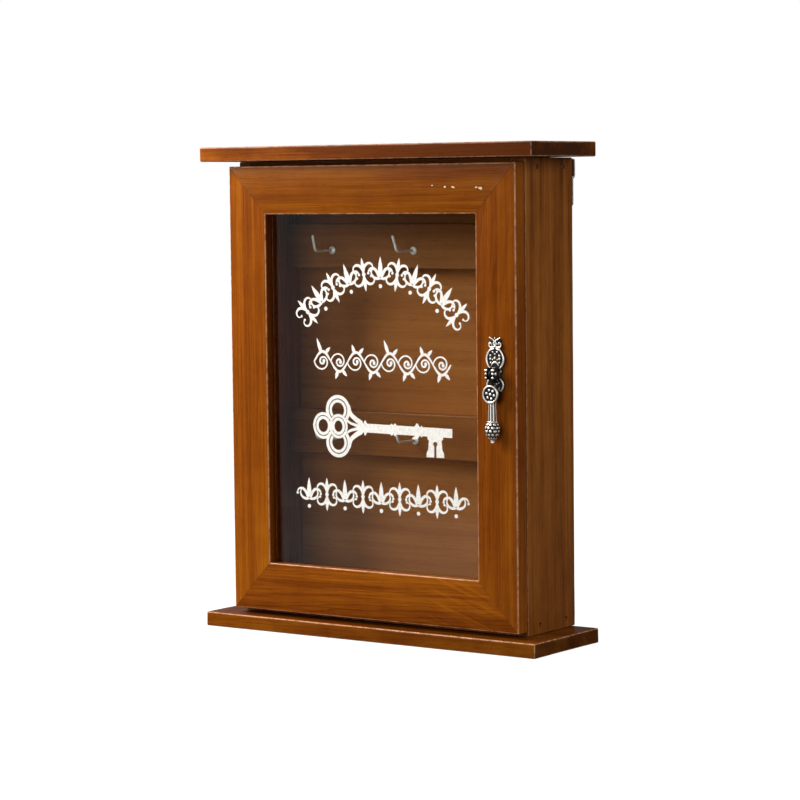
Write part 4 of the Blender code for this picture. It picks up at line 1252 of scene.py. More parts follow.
@dataclass
class Catch:
    """A round magnet in the case and a round strike plate in the door.

    Attributes:
        chamfer: Chamfer of both discs.
    """

    chamfer: float = 0.3 * MM

    def disc(self, node: str) -> Surface:
        """A chamfered disc that fills a node's box, its axis along Y."""
        low, high = corners_of(node)
        radius, depth = (high[0] - low[0]) / 2, high[1] - low[1]
        cut = min(self.chamfer, depth / 3)
        radii = np.array([0, radius * 0.5, radius - 2 * cut, radius - cut, radius, radius,
                          radius - cut, radius * 0.5, 0])
        heights = np.array([0, 0, 0, 0, cut, depth - cut, depth, depth, depth])
        wear = np.array([0.3, 0.3, 0.3, 0.8, 1, 0.3, 0, 0, 0])
        middle = (low + high) / 2
        shape = turned(radii, -heights, 44, wear)
        return shape.placed((middle[0], low[1], middle[2]), *upright_basis(-Y))

    def build(self, metals: Metals) -> None:
        """Build and dress the catch."""
        dress("catch_magnet", "disc", self.disc("catch_magnet"), metals.dark, "carcass")
        dress("catch_strike", "disc", self.disc("catch_strike"), metals.plated, "door")


# --- Drop handle ---
class Ornament:
    """Collects the cast ornament of one plate: ribs, beads and leaves on its face."""

    def __init__(self, origin: Array, face: float) -> None:
        """Start with the place of the plate's middle and the height of its face."""
        self.origin = np.asarray(origin, float)
        self.face = face
        self.parts: list[Surface] = []

    def rib(self, line: Array, widths: Array, height: float = 0.55 * MM,
            mirror: bool = False) -> None:
        """A rounded rib along a line of the face, with a copy on the other side if asked."""
        line = np.asarray(line, float)
        section = circle(12)
        wear = np.clip(section[:, 1], 0, 1) ** 0.6
        for sign in (1, -1) if mirror else (1,):
            flat = line * np.array([sign, 1])
            path = np.stack([flat[:, 0], np.full(len(flat), self.face), flat[:, 1]], -1)
            full, radii = with_round_ends(path, widths)
            scale = np.stack([radii, np.minimum(radii * 1.2, height)], -1)
            self.parts.append(swept(full, -Y, section, scale, wear))

    def vein(self, points: list, middle: float, tip: float, height: float = 0.55,
             mirror: bool = False, steps: int = 10) -> None:
        """A rib through a few points, tapered from its middle to its tips, in millimetres."""
        line = smooth(np.array(points) * MM, steps)
        swell = np.sin(np.linspace(0, 1, len(line)) * math.pi) ** 0.8
        self.rib(line, (tip + (middle - tip) * swell) * MM, height * MM, mirror)

    def bead(self, place: Pair, radius: float, mirror: bool = False) -> None:
        """A round bead on the face."""
        turn = np.linspace(0, math.pi / 2, 7)
        for sign in (1, -1) if mirror else (1,):
            shape = turned(radius * np.sin(turn), radius * np.cos(turn), 16,
                           np.cos(turn) ** 0.5)
            base = turned(np.array([radius, 0.0]), np.array([0.0, -0.2 * MM]), 16)
            where = np.array([sign * place[0], self.face, place[1]])
            self.parts.append(joined([shape, base]).placed(where, *upright_basis(-Y)))

    def surface(self) -> Surface:
        """All the ornament, at its place."""
        shape = joined(self.parts)
        return Surface(shape.points + self.origin, shape.faces, shape.wear)


@dataclass
class DropHandle:
    """The ornamental plate, its forked post, and the hanging drop.

    Attributes:
        plate_base: Thickness of the plate under its ornament.
        post_ear: Thickness of one ear of the post.
        eye_hole: Radius of the hole in the drop's eye.
        flatness: How much the cast drop is squeezed front to back.
        set_back: How far the stem hangs behind the pin.
        rosette_drop: How far the rosette hangs under the pin.
        bulb_radius, bulb_length: Size of the acorn end.
        flutes: How many flutes the stem has round it.
    """

    plate_base: float = 0.9 * MM
    post_ear: float = 1.6 * MM
    eye_hole: float = 1.0 * MM
    flatness: float = 0.80
    set_back: float = 1.0 * MM
    rosette_drop: float = 12.7 * MM
    bulb_radius: float = 5.2 * MM
    bulb_length: float = 13.6 * MM
    flutes: int = 8

    def __post_init__(self) -> None:
        """Read the handle's places from the CAD nodes and the joint."""
        self.plate_low, self.plate_high = corners_of("handle_backplate")
        self.post_low, self.post_high = corners_of("pull_post")
        self.pull_low, self.pull_high = corners_of("drop_pull")
        self.pivot = middle_of("pull_pin")

    def plate(self) -> Surface:
        """The plate: a domed strip with a lobed outline, under ribs, beads and leaves."""
        middle = (self.plate_low + self.plate_high) / 2
        half_w = (self.plate_high[0] - self.plate_low[0]) / 2
        half_h = (self.plate_high[2] - self.plate_low[2]) / 2
        rim = smooth(np.array([
            [-22.0, 0.6], [-20.0, 1.5], [-17.0, 2.4], [-14.6, 3.6], [-12.9, 5.2], [-11.0, 6.3],
            [-8.7, 6.6], [-5.9, 5.2], [-3.4, 4.4], [-0.9, 5.4], [1.0, 5.0], [2.6, 5.8], [4.6, 6.8],
            [7.0, 7.1], [9.3, 6.7], [11.6, 5.2], [13.1, 3.6], [14.6, 4.5], [16.4, 4.8],
            [18.2, 3.0], [19.9, 4.4], [21.2, 3.2], [22.0, 0.8]]) * MM, 6)
        level, width = rim[:, 0] * half_h / (22.0 * MM), np.minimum(rim[:, 1], half_w * 0.98)
        level = np.concatenate([[-half_h], level * 0.999, [half_h]])
        width = np.concatenate([[0.0], width, [0.0]])
        angle = np.linspace(0, math.pi, 17)
        front = np.sin(angle) ** 0.5 * self.plate_base
        points = np.stack(np.broadcast_arrays(
            middle[0] + width[:, None] * np.cos(angle)[None, :],
            self.plate_high[1] - front[None, :] * (width[:, None] > 0),
            middle[2] + level[:, None]), -1)
        base = sheet(points, 0.12, close_columns=True)
        art = Ornament((middle[0], self.plate_high[1], middle[2]), -self.plate_base * 0.92)
        art.vein([[3.7, 20.2], [1.9, 19.2], [0.0, 17.7], [-1.0, 16.4], [0.0, 15.0], [1.9, 13.9],
                  [3.9, 14.4], [4.3, 16.2], [3.1, 16.9], [2.5, 15.8]], 0.74, 0.42, 0.6, True, 6)
        art.bead((0, 19.9 * MM), 0.6 * MM)
        art.vein([[1.0, 13.3], [3.9, 12.2], [5.7, 9.4], [6.3, 6.8], [5.9, 4.4], [4.9, 2.5],
                  [3.3, 1.0]], 0.84, 0.45, 0.7, True, 6)
        art.vein([[-2.6, 2.8], [-1.7, 4.2], [0.0, 4.9], [1.7, 4.2], [2.6, 2.8]], 0.7, 0.4, 0.6)
        for x, z, r in ((1.6, 11.2, 0.7), (0, 9.9, 0.72), (3.3, 9.0, 0.8), (3.3, 6.9, 0.82),
                        (0, 7.5, 0.95), (1.7, 6.4, 0.6), (3.2, 4.6, 0.7), (4.3, -0.9, 0.75),
                        (1.1, -8.7, 0.65), (0, -10.2, 0.6), (2.6, -8.0, 0.5)):
            art.bead((x * MM, z * MM), r * MM, mirror=x > 0)
        art.vein([[2.8, -1.4], [2.5, -3.8], [1.6, -6.4]], 0.72, 0.42, 0.6, True)
        art.vein([[3.4, -5.3], [5.2, -6.9], [6.0, -9.0], [5.5, -11.2], [4.2, -12.9],
                  [2.9, -12.2], [3.1, -11.0]], 0.7, 0.4, 0.6, True, 6)
        art.vein([[0, -12.0], [0, -15.6], [0, -20.0]], 0.75, 0.3)
        for z in (-13.6, -15.4, -17.2):
            art.vein([[0.7, z + 0.5], [1.9, z - 0.2], [2.5 + (z + 13.6) * 0.22, z - 1.4]],
                     0.5, 0.3, mirror=True)
        return joined([base, art.surface()])

    def post(self) -> Surface:
        """The forked post: a root block, two round-nosed ears and a threaded shank."""
        low, high = self.post_low, self.post_high
        middle = (low + high) / 2
        rear = self.plate_low[1] - 0.05 * MM
        root_front = self.pivot[1] + 2.6 * MM
        root = Block((low[0], root_front, low[2]), (high[0], rear, high[2]), 0.4 * MM).surface()
        nose = (high[2] - low[2]) / 2
        blob = 0.5 * MM
        depth = rear - low[1] - blob
        corners = [(0, -nose), (depth, -nose), (depth, nose), (0, nose)]
        outline, wear = rounded_outline(corners, [0.2 * MM, nose * 0.55, nose * 0.55, 0.2 * MM], 8)
        ears = []
        for x in (low[0] + self.post_ear / 2, high[0] - self.post_ear / 2):
            shape = bar(outline, 0.5 * wear, self.post_ear / 2, chamfer=0.25 * MM)
            ears.append(shape.placed((x, rear, middle[2]), X, -Y, Z))
            art = Ornament((x, low[1] + blob, middle[2]), 0.04 * MM)
            for place, length in ((nose * 0.62, 0.55), (0.0, 0.05), (-nose * 0.62, 0.05)):
                line = np.array([[-length, 0], [length, 0]]) * MM + [0, place]
                art.rib(line, np.full(2, 0.42 * self.post_ear), blob)
            ears.append(art.surface())
        turns = np.arange(0, 60)
        run = np.linspace(0, high[1] - rear, len(turns))
        ripple = 1.6 * MM - 0.18 * MM * (turns % 2)
        radius = np.concatenate([[0], ripple, [1.2 * MM, 0]])
        height = np.concatenate([[-0.5 * MM], run, [run[-1] + 0.01 * MM, run[-1] + 0.01 * MM]])
        shank = turned(radius, height, 24, 0.4).placed((middle[0], rear, middle[2]),
                                                      *upright_basis(Y))
        return joined([root, *ears, shank])

    def nut(self) -> Surface:
        """A hexagonal nut: radius apothem / cos(angle to the nearest flat), chamfered."""
        low, high = corners_of("post_nut")
        middle = middle_of("post_nut")
        steps = 60
        apothem, depth = (high[0] - low[0]) / 2, high[1] - low[1]
        angle = angles(steps)
        beside = (angle + math.pi / 6) % (math.pi / 3) - math.pi / 6
        hexagon = apothem / np.cos(beside)
        bore = np.full(steps, 1.75 * MM)
        cone = np.minimum(hexagon, apothem * 1.01)
        radii = np.stack([bore, cone, hexagon, hexagon, cone, bore])
        rise = hexagon - cone
        zero = np.zeros(steps)
        heights = np.stack([zero, zero, rise * 0.6 + 0.05 * MM, depth - rise * 0.6 - 0.05 * MM,
                            zero + depth, zero + depth])
        shape = turned(radii, heights, steps, 0.4, close_rows=True)
        return shape.placed((middle[0], low[1], middle[2]), *upright_basis(Y))

    def rosette(self) -> Surface:
        """A dished disc with a raised rim and a flower of six petals and a middle bead."""
        outer = (self.pull_high[0] - self.pull_low[0]) / 2
        steps = 72
        share = np.concatenate([[0.0], np.linspace(0.06, 0.74, 15), np.linspace(0.78, 1.0, 8)])
        angle = angles(steps)
        radius = outer * share
        x, y = radius[:, None] * np.cos(angle), radius[:, None] * np.sin(angle)
        rim = np.sqrt(np.clip(1 - ((share - 0.88) / 0.12) ** 2, 0, 1))[:, None]
        height = 0.9 * MM + 1.1 * MM * rim * np.ones(steps)
        centres = [(0.0, 0.0)] + [(0.47 * outer * math.cos(a), 0.47 * outer * math.sin(a))
                                  for a in np.arange(6) * math.pi / 3 + 0.3]
        for cx, cy in centres:
            size = 0.20 * outer
            away = np.hypot(x - cx, y - cy) / size
            height = np.maximum(height, 0.75 * MM + 1.0 * MM * np.sqrt(np.clip(1 - away ** 2, 0, 1)))
        wear = np.clip((height / MM - 1.15) / 0.5, 0, 1)
        back = np.array([[outer, 0.5], [outer * 0.97, -0.3], [outer * 0.7, -0.6], [0, -0.6]])
        radii = np.concatenate([radius, back[:, 0]])
        heights = np.concatenate([height, np.repeat(back[:, 1:] * MM, steps, 1)])
        worn = np.concatenate([wear, np.zeros((len(back), steps))])
        return turned(radii, heights, steps, worn)

    def stem(self, length: float) -> Surface:
        """The fluted stem: radius R (0.74 + 0.26 |cos(n a / 2)|^0.6), flaring downward."""
        steps, rows = 64, 26
        angle = angles(steps)
        share = np.linspace(0, 1, rows)[:, None]
        flute = np.abs(np.cos(self.flutes / 2 * angle))[None, :] ** 0.6
        size = (2.5 + 0.6 * share) * MM
        radius = size * (0.74 + 0.26 * flute)
        height = -share * length * np.ones(steps)
        wear = np.clip((flute - 0.62) / 0.30, 0, 1) * np.ones((rows, 1))
        return turned(radius, height, steps, wear, self.flatness)

    def bulb(self) -> Surface:
        """The acorn end: radius R(z) (0.78 + 0.22 sqrt(bead)), in staggered rows of beads.

        A bead is the product of a cosine of the angle and a sine of the height.
        """
        steps, rows = 96, 84
        share = np.linspace(0, 1, rows)
        stops = np.array([0.0, 0.05, 0.13, 0.30, 0.48, 0.64, 0.76, 0.83, 0.88, 0.94, 1.0])
        sizes = np.array([0.55, 0.72, 0.90, 1.0, 0.94, 0.76, 0.50, 0.30, 0.22, 0.24, 0.0])
        profile = np.interp(share, stops, sizes) * self.bulb_radius
        profile[-9:] = 1.25 * MM * np.sqrt(np.clip(1 - np.linspace(-0.35, 1, 9) ** 2, 0, 1))
        angle = angles(steps)
        level = share / 0.166
        shift = (np.floor(level) % 2)[:, None] * math.pi
        bead = np.abs(np.cos((4.5 * angle[None, :]) + shift / 2)) * np.abs(
            np.sin(level * math.pi))[:, None]
        bead = np.where((share < 0.83)[:, None], np.sqrt(bead), 0.95)
        radius = profile[:, None] * (0.78 + 0.22 * bead)
        wear = np.clip((bead - 0.52) / 0.26, 0, 1)
        height = -share[:, None] * self.bulb_length * np.ones(steps)
        top = turned(np.array([0.0, 0.55 * 0.78 * self.bulb_radius]), np.array([0.0, 0.0]), steps,
                     flatness=self.flatness)
        return joined([top, turned(radius, height, steps, wear, self.flatness)])

    def drop(self) -> Surface:
        """The drop: eye, neck, rosette, stem and acorn end."""
        x, y, z = self.pivot
        hoop = circle(20)
        outer, width = 2.4 * MM, 2.6 * MM
        middle, half = (outer + self.eye_hole) / 2, (outer - self.eye_hole) / 2
        eye = turned(middle + half * hoop[:, 0], width / 2 * hoop[:, 1], 40,
                     0.10 * np.clip(hoop[:, 0], 0, 1), close_rows=True)
        eye = eye.placed((x, y, z), *upright_basis(X))
        rear = y + self.set_back
        rosette_z = z - self.rosette_drop
        neck = smooth(np.array([[x, y, z - 2.0 * MM], [x, y + 0.4 * MM, z - 4.8 * MM],
                                [x, rear, rosette_z + 4.4 * MM], [x, rear, rosette_z]]))
        widths = np.linspace(1.25, 1.7, len(neck)) * MM
        neck = swept(neck, -Y, circle(20), np.stack([widths, widths * 0.9], -1), 0.4)
        rosette = self.rosette().placed((x, y, rosette_z), *upright_basis(-Y))
        bulb_top = self.pull_low[2] + self.bulb_length
        stem_top = rosette_z - 4.2 * MM
        stem = self.stem(stem_top - bulb_top + 0.3 * MM).placed((x, rear, stem_top), X, Y, Z)
        bulb = self.bulb().placed((x, rear, bulb_top), X, Y, Z)
        hoop, bands = circle(16), []
        for height, radius in ((stem_top - 0.4 * MM, 2.75), (bulb_top + 0.2 * MM, 3.2)):
            band = turned(radius * MM + 0.5 * MM * hoop[:, 0], 0.55 * MM * hoop[:, 1], 48,
                          np.clip(hoop[:, 0], 0, 1), self.flatness, close_rows=True)
            bands.append(band.placed((x, rear, height), X, Y, Z))
        return joined([eye, neck, rosette, stem, bulb, *bands])

    def pin(self) -> Surface:
        """The pin, riveted at both ends."""
        low, high = corners_of("pull_pin")
        shape = rivet([0, 0.6, 1.0, 1.1, 0.7], [0.5, 0.45, 0.3, 0.05, 0], high[0] - low[0], 24, 0.8)
        return shape.placed(self.pivot, *upright_basis(X))

    def build(self, metals: Metals) -> None:
        """Build and dress the handle."""
        for node, kind, shape, look, body in (
                ("handle_backplate", "casting", self.plate(), metals.bronze, "door"),
                ("pull_post", "casting", self.post(), metals.bronze, "door"),
                ("pull_pin", "steel", self.pin(), metals.bronze, "door"),
                ("post_nut", "steel", self.nut(), metals.plated, "door"),
                ("drop_pull", "casting", self.drop(), metals.bronze, "pull")):
            dress(node, kind, shape, look, body)


def smooth(points: Array, steps: int = 10) -> Array:
    """A smooth line through a few points: a Catmull-Rom curve, whole arrays at a time."""
    points = np.asarray(points, float)
    padded = np.concatenate([[2 * points[0] - points[1]], points, [2 * points[-1] - points[-2]]])
    t = (np.arange(steps) / steps)[None, :, None]
    a, b, c, d = (padded[k:len(padded) - 3 + k][:, None, :] for k in range(4))
    curve = 0.5 * (2 * b + (c - a) * t + (2 * a - 5 * b + 4 * c - d) * t ** 2
                   + (3 * b - a - 3 * c + d) * t ** 3)
    return np.concatenate([curve.reshape(-1, points.shape[1]), points[-1:]])


# --- Wall hangers ---
@dataclass
class WallHangers:
    """Joggled steel plates on the rear edges of the sides, slotted for wall screws.

    Attributes:
        thickness: Thickness of the plate.
        raised: Height of the raised upper part.
        step: How far that part stands back.
        slot_width, slot_height: Size of the slot.
        slot_rise: How far the slot's lower end is above the bend.
    """

    thickness: float = 1.0 * MM
    raised: float = 11.0 * MM
    step: float = 2.2 * MM
    slot_width: float = 4.5 * MM
    slot_height: float = 7.0 * MM
    slot_rise: float = 1.0 * MM

    def plate(self, node: str) -> Surface:
        """A slotted plate: a band from the rim to the slot on one face and back on the other."""
        low, high = corners_of(node)
        middle = (low[0] + high[0]) / 2
        bend = high[2] - self.raised
        outer = self.outline(low[0], high[0], low[2], high[2], 1.2 * MM)
        slot_low = bend + self.slot_rise
        inner = self.outline(middle - self.slot_width / 2, middle + self.slot_width / 2,
                             slot_low, slot_low + self.slot_height, self.slot_width * 0.45)
        share = np.concatenate([[0.0], np.linspace(0.012, 0.96, 22), [1.0]])
        lift = np.where((share == 0) | (share == 1), 0.6, 1.0) * self.thickness / 2
        share = np.concatenate([share, share[::-1]])
        lift = np.concatenate([lift, -lift[::-1]])
        flat = outer[None] * (1 - share[:, None, None]) + inner[None] * share[:, None, None]
        rise = np.clip((flat[..., 1] - (bend - self.step)) / self.step, 0, 1)
        rise = rise * rise * (3 - 2 * rise)
        depth = low[1] + self.thickness / 2 + rise * self.step + lift[:, None]
        points = np.stack([flat[..., 0], depth, flat[..., 1]], -1)
        wear = np.where(np.abs(share * 2 - 1) > 0.98, 0.9, 0.2)[:, None]
        return sheet(points, wear, close_rows=True, close_columns=True)

    @staticmethod
    def outline(left: float, right: float, bottom: float, top: float, radius: float) -> Array:
        """A rounded rectangle, read at even steps of its length from the middle of its top."""
        corners = [(left, top), (left, bottom), (right, bottom), (right, top)]
        points, _ = rounded_outline(corners, [radius] * 4, 6)
        start = np.array([[(left + right) / 2, top]])
        loop = np.concatenate([start, points, start])
        length = np.concatenate([[0], np.cumsum(np.linalg.norm(np.diff(loop, axis=0), axis=1))])
        even = np.linspace(0, length[-1], 97)[:-1]
        return np.stack([np.interp(even, length, loop[:, axis]) for axis in range(2)], -1)

    def build(self, metals: Metals) -> None:
        """Build and dress both hangers and their screws."""
        turns = iter((0.4, 1.1, 0.1, 0.8))
        for name in ("left", "right"):
            node = name + "_wall_hanger"
            dress(node, "steel", self.plate(node), metals.plated, "carcass")
            for number in (1, 2):
                screwed(f"{name}_hanger_screw_{number}", Y, next(turns), metals.plated, "carcass")


# --- Print on the glass ---
class Pen:
    """Draws thin white strokes on the pane, each a hair higher than the one before."""

    def __init__(self, face: float, thickness: float = 0.06 * MM) -> None:
        """Start with the pane's front plane and the film's thickness."""
        self.face = face
        self.thickness = thickness
        self.parts: list[Surface] = []

    def level(self) -> float:
        """The y of the next stroke's middle."""
        return self.face - 0.02 * MM - 0.0012 * MM * len(self.parts) - self.thickness / 2

    def panel(self, first: Array, second: Array, closed: bool = False) -> None:
        """A flat plate between two lines, or loops, of equally many (x, z) points."""
        half = self.thickness / 2
        level = self.level()
        edges = [(first, -half), (second, -half), (second, half), (first, half)]
        points = np.stack([np.stack([line[:, 0], np.full(len(line), level + depth), line[:, 1]],
                                    -1) for line, depth in edges], 1)
        self.parts.append(sheet(points, 0.5, close_rows=closed, close_columns=True,
                                caps=not closed))

    def stroke(self, line: Array, widths: Array, closed: bool = False,
               square: bool = False) -> None:
        """A flat stroke along a line of (x, z) points, with half widths."""
        line = np.asarray(line, float)
        path = np.stack([line[:, 0], np.full(len(line), self.level()), line[:, 1]], -1)
        if not closed and not square:
            path, widths = with_round_ends(path, widths, 4)
        section = np.array([[-1, -1], [1, -1], [1, 1], [-1, 1]], float)
        scale = np.stack([widths, np.full(len(path), self.thickness / 2)], -1)
        self.parts.append(swept(path, -Y, section, scale, 0.5, closed))

    def ring(self, centre: Pair, size: Pair, hole: Pair) -> None:
        """An oval ring."""
        self.panel(circle(56) * size + centre, circle(56) * hole + centre, closed=True)

    def dot(self, centre: Array, radius: float) -> None:
        """A round dot: a stroke of no length, as wide as the dot."""
        line = np.asarray(centre) + np.array([[-0.02, 0], [0.02, 0]]) * radius
        self.stroke(line, np.full(2, radius))

    def leaf(self, start: Array, heading: float, length: float, width: float,
             bend: float = 0.0) -> None:
        """A leaf: widest a third of the way along, pointed at both ends."""
        line = clothoid(start, heading, length, bend, -bend, 20)
        share = np.linspace(0, 1, len(line))
        widths = width * (share ** 0.5) * (1 - share) * 2.6 + 0.05 * MM
        self.stroke(line, widths)

    def scroll(self, start: Array, heading: float, length: float, bend_start: float,
               bend_end: float, width: float) -> None:
        """A scroll stroke that swells in its first half and ends in a dot."""
        line = clothoid(start, heading, length, bend_start, bend_end, 44)
        share = np.linspace(0, 1, len(line))
        widths = width * (0.30 + 0.70 * np.sin(np.sqrt(share) * math.pi) ** 1.1)
        self.stroke(line, widths)
        self.dot(line[-1], width * 0.85)

    def surface(self) -> Surface:
        """All the strokes."""
        return joined(self.parts)


@dataclass
class GlassPrint:
    """White ornament on the pane: an arched scroll band, a vine, a key and a lower band.

    Attributes:
        arch_radius: Radius of the arched band's middle line.
        arch_span: Half the angle that it spans.
        arch_rise: Height of its top over the key's axis.
        arch_units, unit_height: Number and height of its ornaments.
        line: Half width of the main strokes.
    """

    arch_radius: float = 80.0 * MM
    arch_span: float = math.radians(47.5)
    arch_rise: float = 100.0 * MM
    arch_units: int = 11
    unit_height: float = 21.0 * MM
    line: float = 0.95 * MM

    def __post_init__(self) -> None:
        """Read the pane's front and the key's place from the CAD nodes."""
        self.face = corners_of("glass_pane")[0][1]
        low, high = corners_of("key_transfer")
        self.left, self.right = low[0], high[0]
        self.axis_x, self.axis_z = (low[0] + high[0]) / 2, (low[2] + high[2]) / 2

    def motif(self, pen: Pen, place: Array, tilt: float, size: float) -> None:
        """An ornament turned by a tilt, alike on both sides: curls and leaves round a dot."""
        for heading in (math.pi / 2 + tilt, tilt - math.pi / 2):
            way = np.array([math.cos(heading), math.sin(heading)])
            for side in (1, -1):
                pen.scroll(place + 0.03 * size * way, heading + side * 0.10, 0.80 * size,
                           side * 1.2 / size, side * 10.5 / size, self.line)
            pen.leaf(place + 0.16 * size * way, heading, 0.36 * size, self.line * 1.25)
        pen.dot(place, self.line * 1.5)

    def fleuron(self, pen: Pen, place: Array, tilt: float, size: float) -> None:
        """A three-leaved ornament over two curls, turned by a tilt."""
        up = np.array([-math.sin(tilt), math.cos(tilt)])
        across = np.array([math.cos(tilt), math.sin(tilt)])
        upright = math.pi / 2 + tilt
        pen.leaf(place - 0.12 * size * up, upright, size * 0.62, self.line * 1.8)
        for side in (1, -1):
            pen.scroll(place + (0.05 * side * across - 0.14 * up) * size,
                       upright - side * 0.30, size * 0.66, -side * 10, -side * 430,
                       self.line * 1.1)
            pen.scroll(place - 0.16 * size * up, upright - side * 1.75, size * 0.62, side * 60,
                       side * 430, self.line * 0.95)
        pen.dot(place - 0.40 * size * up, self.line * 1.4)

    def arch(self) -> Surface:
        """The arched band: ornaments at even angles, turned to stand on the arc."""
        pen = Pen(self.face)
        centre = np.array([self.axis_x + 0.5 * MM,
                           self.axis_z + self.arch_rise - self.arch_radius])
        angles = np.linspace(self.arch_span, -self.arch_span, self.arch_units)
        for index, angle in enumerate(angles):
            place = centre + self.arch_radius * np.array([-math.sin(angle), math.cos(angle)])
            draw = self.motif if (index - self.arch_units // 2) % 2 else self.fleuron
            draw(pen, place, angle, self.unit_height)
        return pen.surface()

    def vine(self) -> Surface:
        """A waving stem with a spiral r = (pitch / 2) exp(-0.19 a) in every bay, and leaves."""
        pen = Pen(self.face)
        left, right = self.left + 2.0 * MM, self.right - 1.0 * MM
        middle = self.axis_z + 42.0 * MM
        bays = 8
        pitch = (right - left) / bays
        x = np.linspace(left, right, 181)
        wave = 6.4 * MM * np.sin((x - left) / pitch * math.pi)
        widths = self.line * (0.55 + 0.40 * np.abs(np.sin((x - left) / pitch * math.pi)))
        pen.stroke(np.stack([x, middle + wave], -1), widths)
        angle = np.linspace(0, 3.1 * math.pi, 64)
        for index in range(bays):
            side = 1 if index % 2 == 0 else -1
            tall = 1.7 if index in (0, 4) else 1.0
            centre = np.array([left + (index + 0.5) * pitch, middle])
            radius = pitch / 2 * np.exp(-0.19 * angle)
            spiral = np.stack([np.cos(math.pi + angle), side * np.sin(math.pi + angle)], -1)
            line = centre + spiral * radius[:, None]
            pen.stroke(line, self.line * np.linspace(0.5, 0.75, len(line)))
            pen.dot(line[-1], self.line * 1.2)
            crest = centre + np.array([-0.10 * pitch, side * 6.2 * MM])
            pen.leaf(crest, side * 1.85, 5.5 * MM * tall, self.line * 1.3, side * 40)
            pen.leaf(crest + np.array([0.3 * pitch, -side * 0.4 * MM]), side * 0.75,
                     5.0 * MM, self.line * 1.2, side * 60)
        return pen.surface()

    def lower_band(self) -> Surface:
        """The lower band: ornaments side by side on a level line."""
        pen = Pen(self.face)
        count = 9
        pitch = (self.right - self.left + 6 * MM) / (count - 1)
        middle = np.array([self.axis_x - 0.7 * MM, self.axis_z - 45.5 * MM])
        for index in range(count):
            place = middle + np.array([(index - (count - 1) / 2) * pitch, 0])
            draw = self.motif if index % 2 else self.fleuron
            draw(pen, place, 0.0, self.unit_height)
        return pen.surface()

    def bow(self, pen: Pen) -> None:
        """The bow: four double rings, a flared neck and its two ogee braces."""
        m = MM
        x, z = self.left + 21.0 * m, self.axis_z - 0.2 * m
        for side in (1, -1):
            turn = np.radians(np.linspace(-42, 222, 60))
            arc = np.stack([np.cos(turn), side * np.sin(turn)], -1)
            lobe = np.array([x - 0.3 * m, z + side * 10.6 * m])
            pen.stroke(lobe + arc * 8.7 * m, np.full(60, 1.15 * m), square=True)
            pen.stroke(lobe + arc * 5.9 * m, np.full(60, 0.95 * m), square=True)
        for shift, size, hole in ((12.4, (8.2, 8.8), (6.4, 6.9)), (12.4, (5.8, 6.3), (3.8, 4.3)),
                                  (0.0, (7.4, 8.0), (5.7, 6.2)), (0.0, (5.2, 5.7), (3.2, 3.7))):
            pen.ring((x - shift * m, z), np.array(size) * m, np.array(hole) * m)
        for side in (1, -1):
            brace = smooth(np.array([[8.3, 13.4], [9.9, 8.6], [13.6, 5.4], [18.0, 2.9]]) * m
                           * [1, side] + [x, z])
            pen.stroke(brace, np.linspace(1.3, 1.7, len(brace)) * m)
            inner = smooth(np.array([[6.8, 4.2], [9.8, 2.4], [14.5, 1.2], [18.0, 0.8]]) * m
                           * [1, side] + [x, z])
            pen.stroke(inner, np.linspace(0.7, 1.2, len(inner)) * m)

    def bit(self, pen: Pen, axis: float) -> None:
        """The bit: two flared halves round a keyhole slot."""
        m = MM
        middle = self.right - 13.4 * m
        outer = np.array([[6.0, -2.4], [6.0, -4.2], [4.9, -5.2], [5.2, -7.6], [5.5, -11.0],
                          [6.6, -13.0], [6.8, -15.9]]) * m
        inner = np.array([[0.0, -2.4], [0.0, -5.6], [0.9, -6.0], [1.7, -7.4], [0.9, -9.0],
                          [0.8, -12.0], [0.9, -15.9]]) * m
        for side in (1, -1):
            pen.panel(smooth(outer * [side, 1] + [middle, axis]),
                      smooth(inner * [side, 1] + [middle, axis]))

    def key(self) -> Surface:
        """A plain old key: ring bow, collars, shaft and a slotted bit."""
        pen = Pen(self.face)
        m = MM
        self.bow(pen)
        axis = self.axis_z - 1.3 * m
        start = self.left + 38.0 * m
        reach = np.linspace(0, self.right - 0.2 * m - start, 90)
        line = np.stack([start + reach, axis + 0.9 * m * (1 - reach / reach[-1])], -1)
        widths = np.full(len(reach), 2.9 * m)
        for place, extra, spread in ((1.2, 1.9, 0.8), (4.6, 2.1, 0.9), (25.5, 1.1, 0.8),
                                     (28.2, 1.3, 0.8), (45.5, 2.2, 1.3), (49.0, 1.0, 0.6)):
            widths = widths + extra * m * np.exp(-((reach / m - place) / spread) ** 4)
        pen.stroke(line, widths, square=True)
        self.bit(pen, axis)
        return pen.surface()

    def build(self) -> None:
        """Build and dress the four prints."""
        film = Look(FilmFinish().material(), "white_film")
        make_piece("key_print", self.key(), film, "door", ("key_transfer",))
        make_piece("arched_scroll_print", self.arch(), film, "door")
        make_piece("vine_print", self.vine(), film, "door")
        make_piece("lower_scroll_print", self.lower_band(), film, "door")


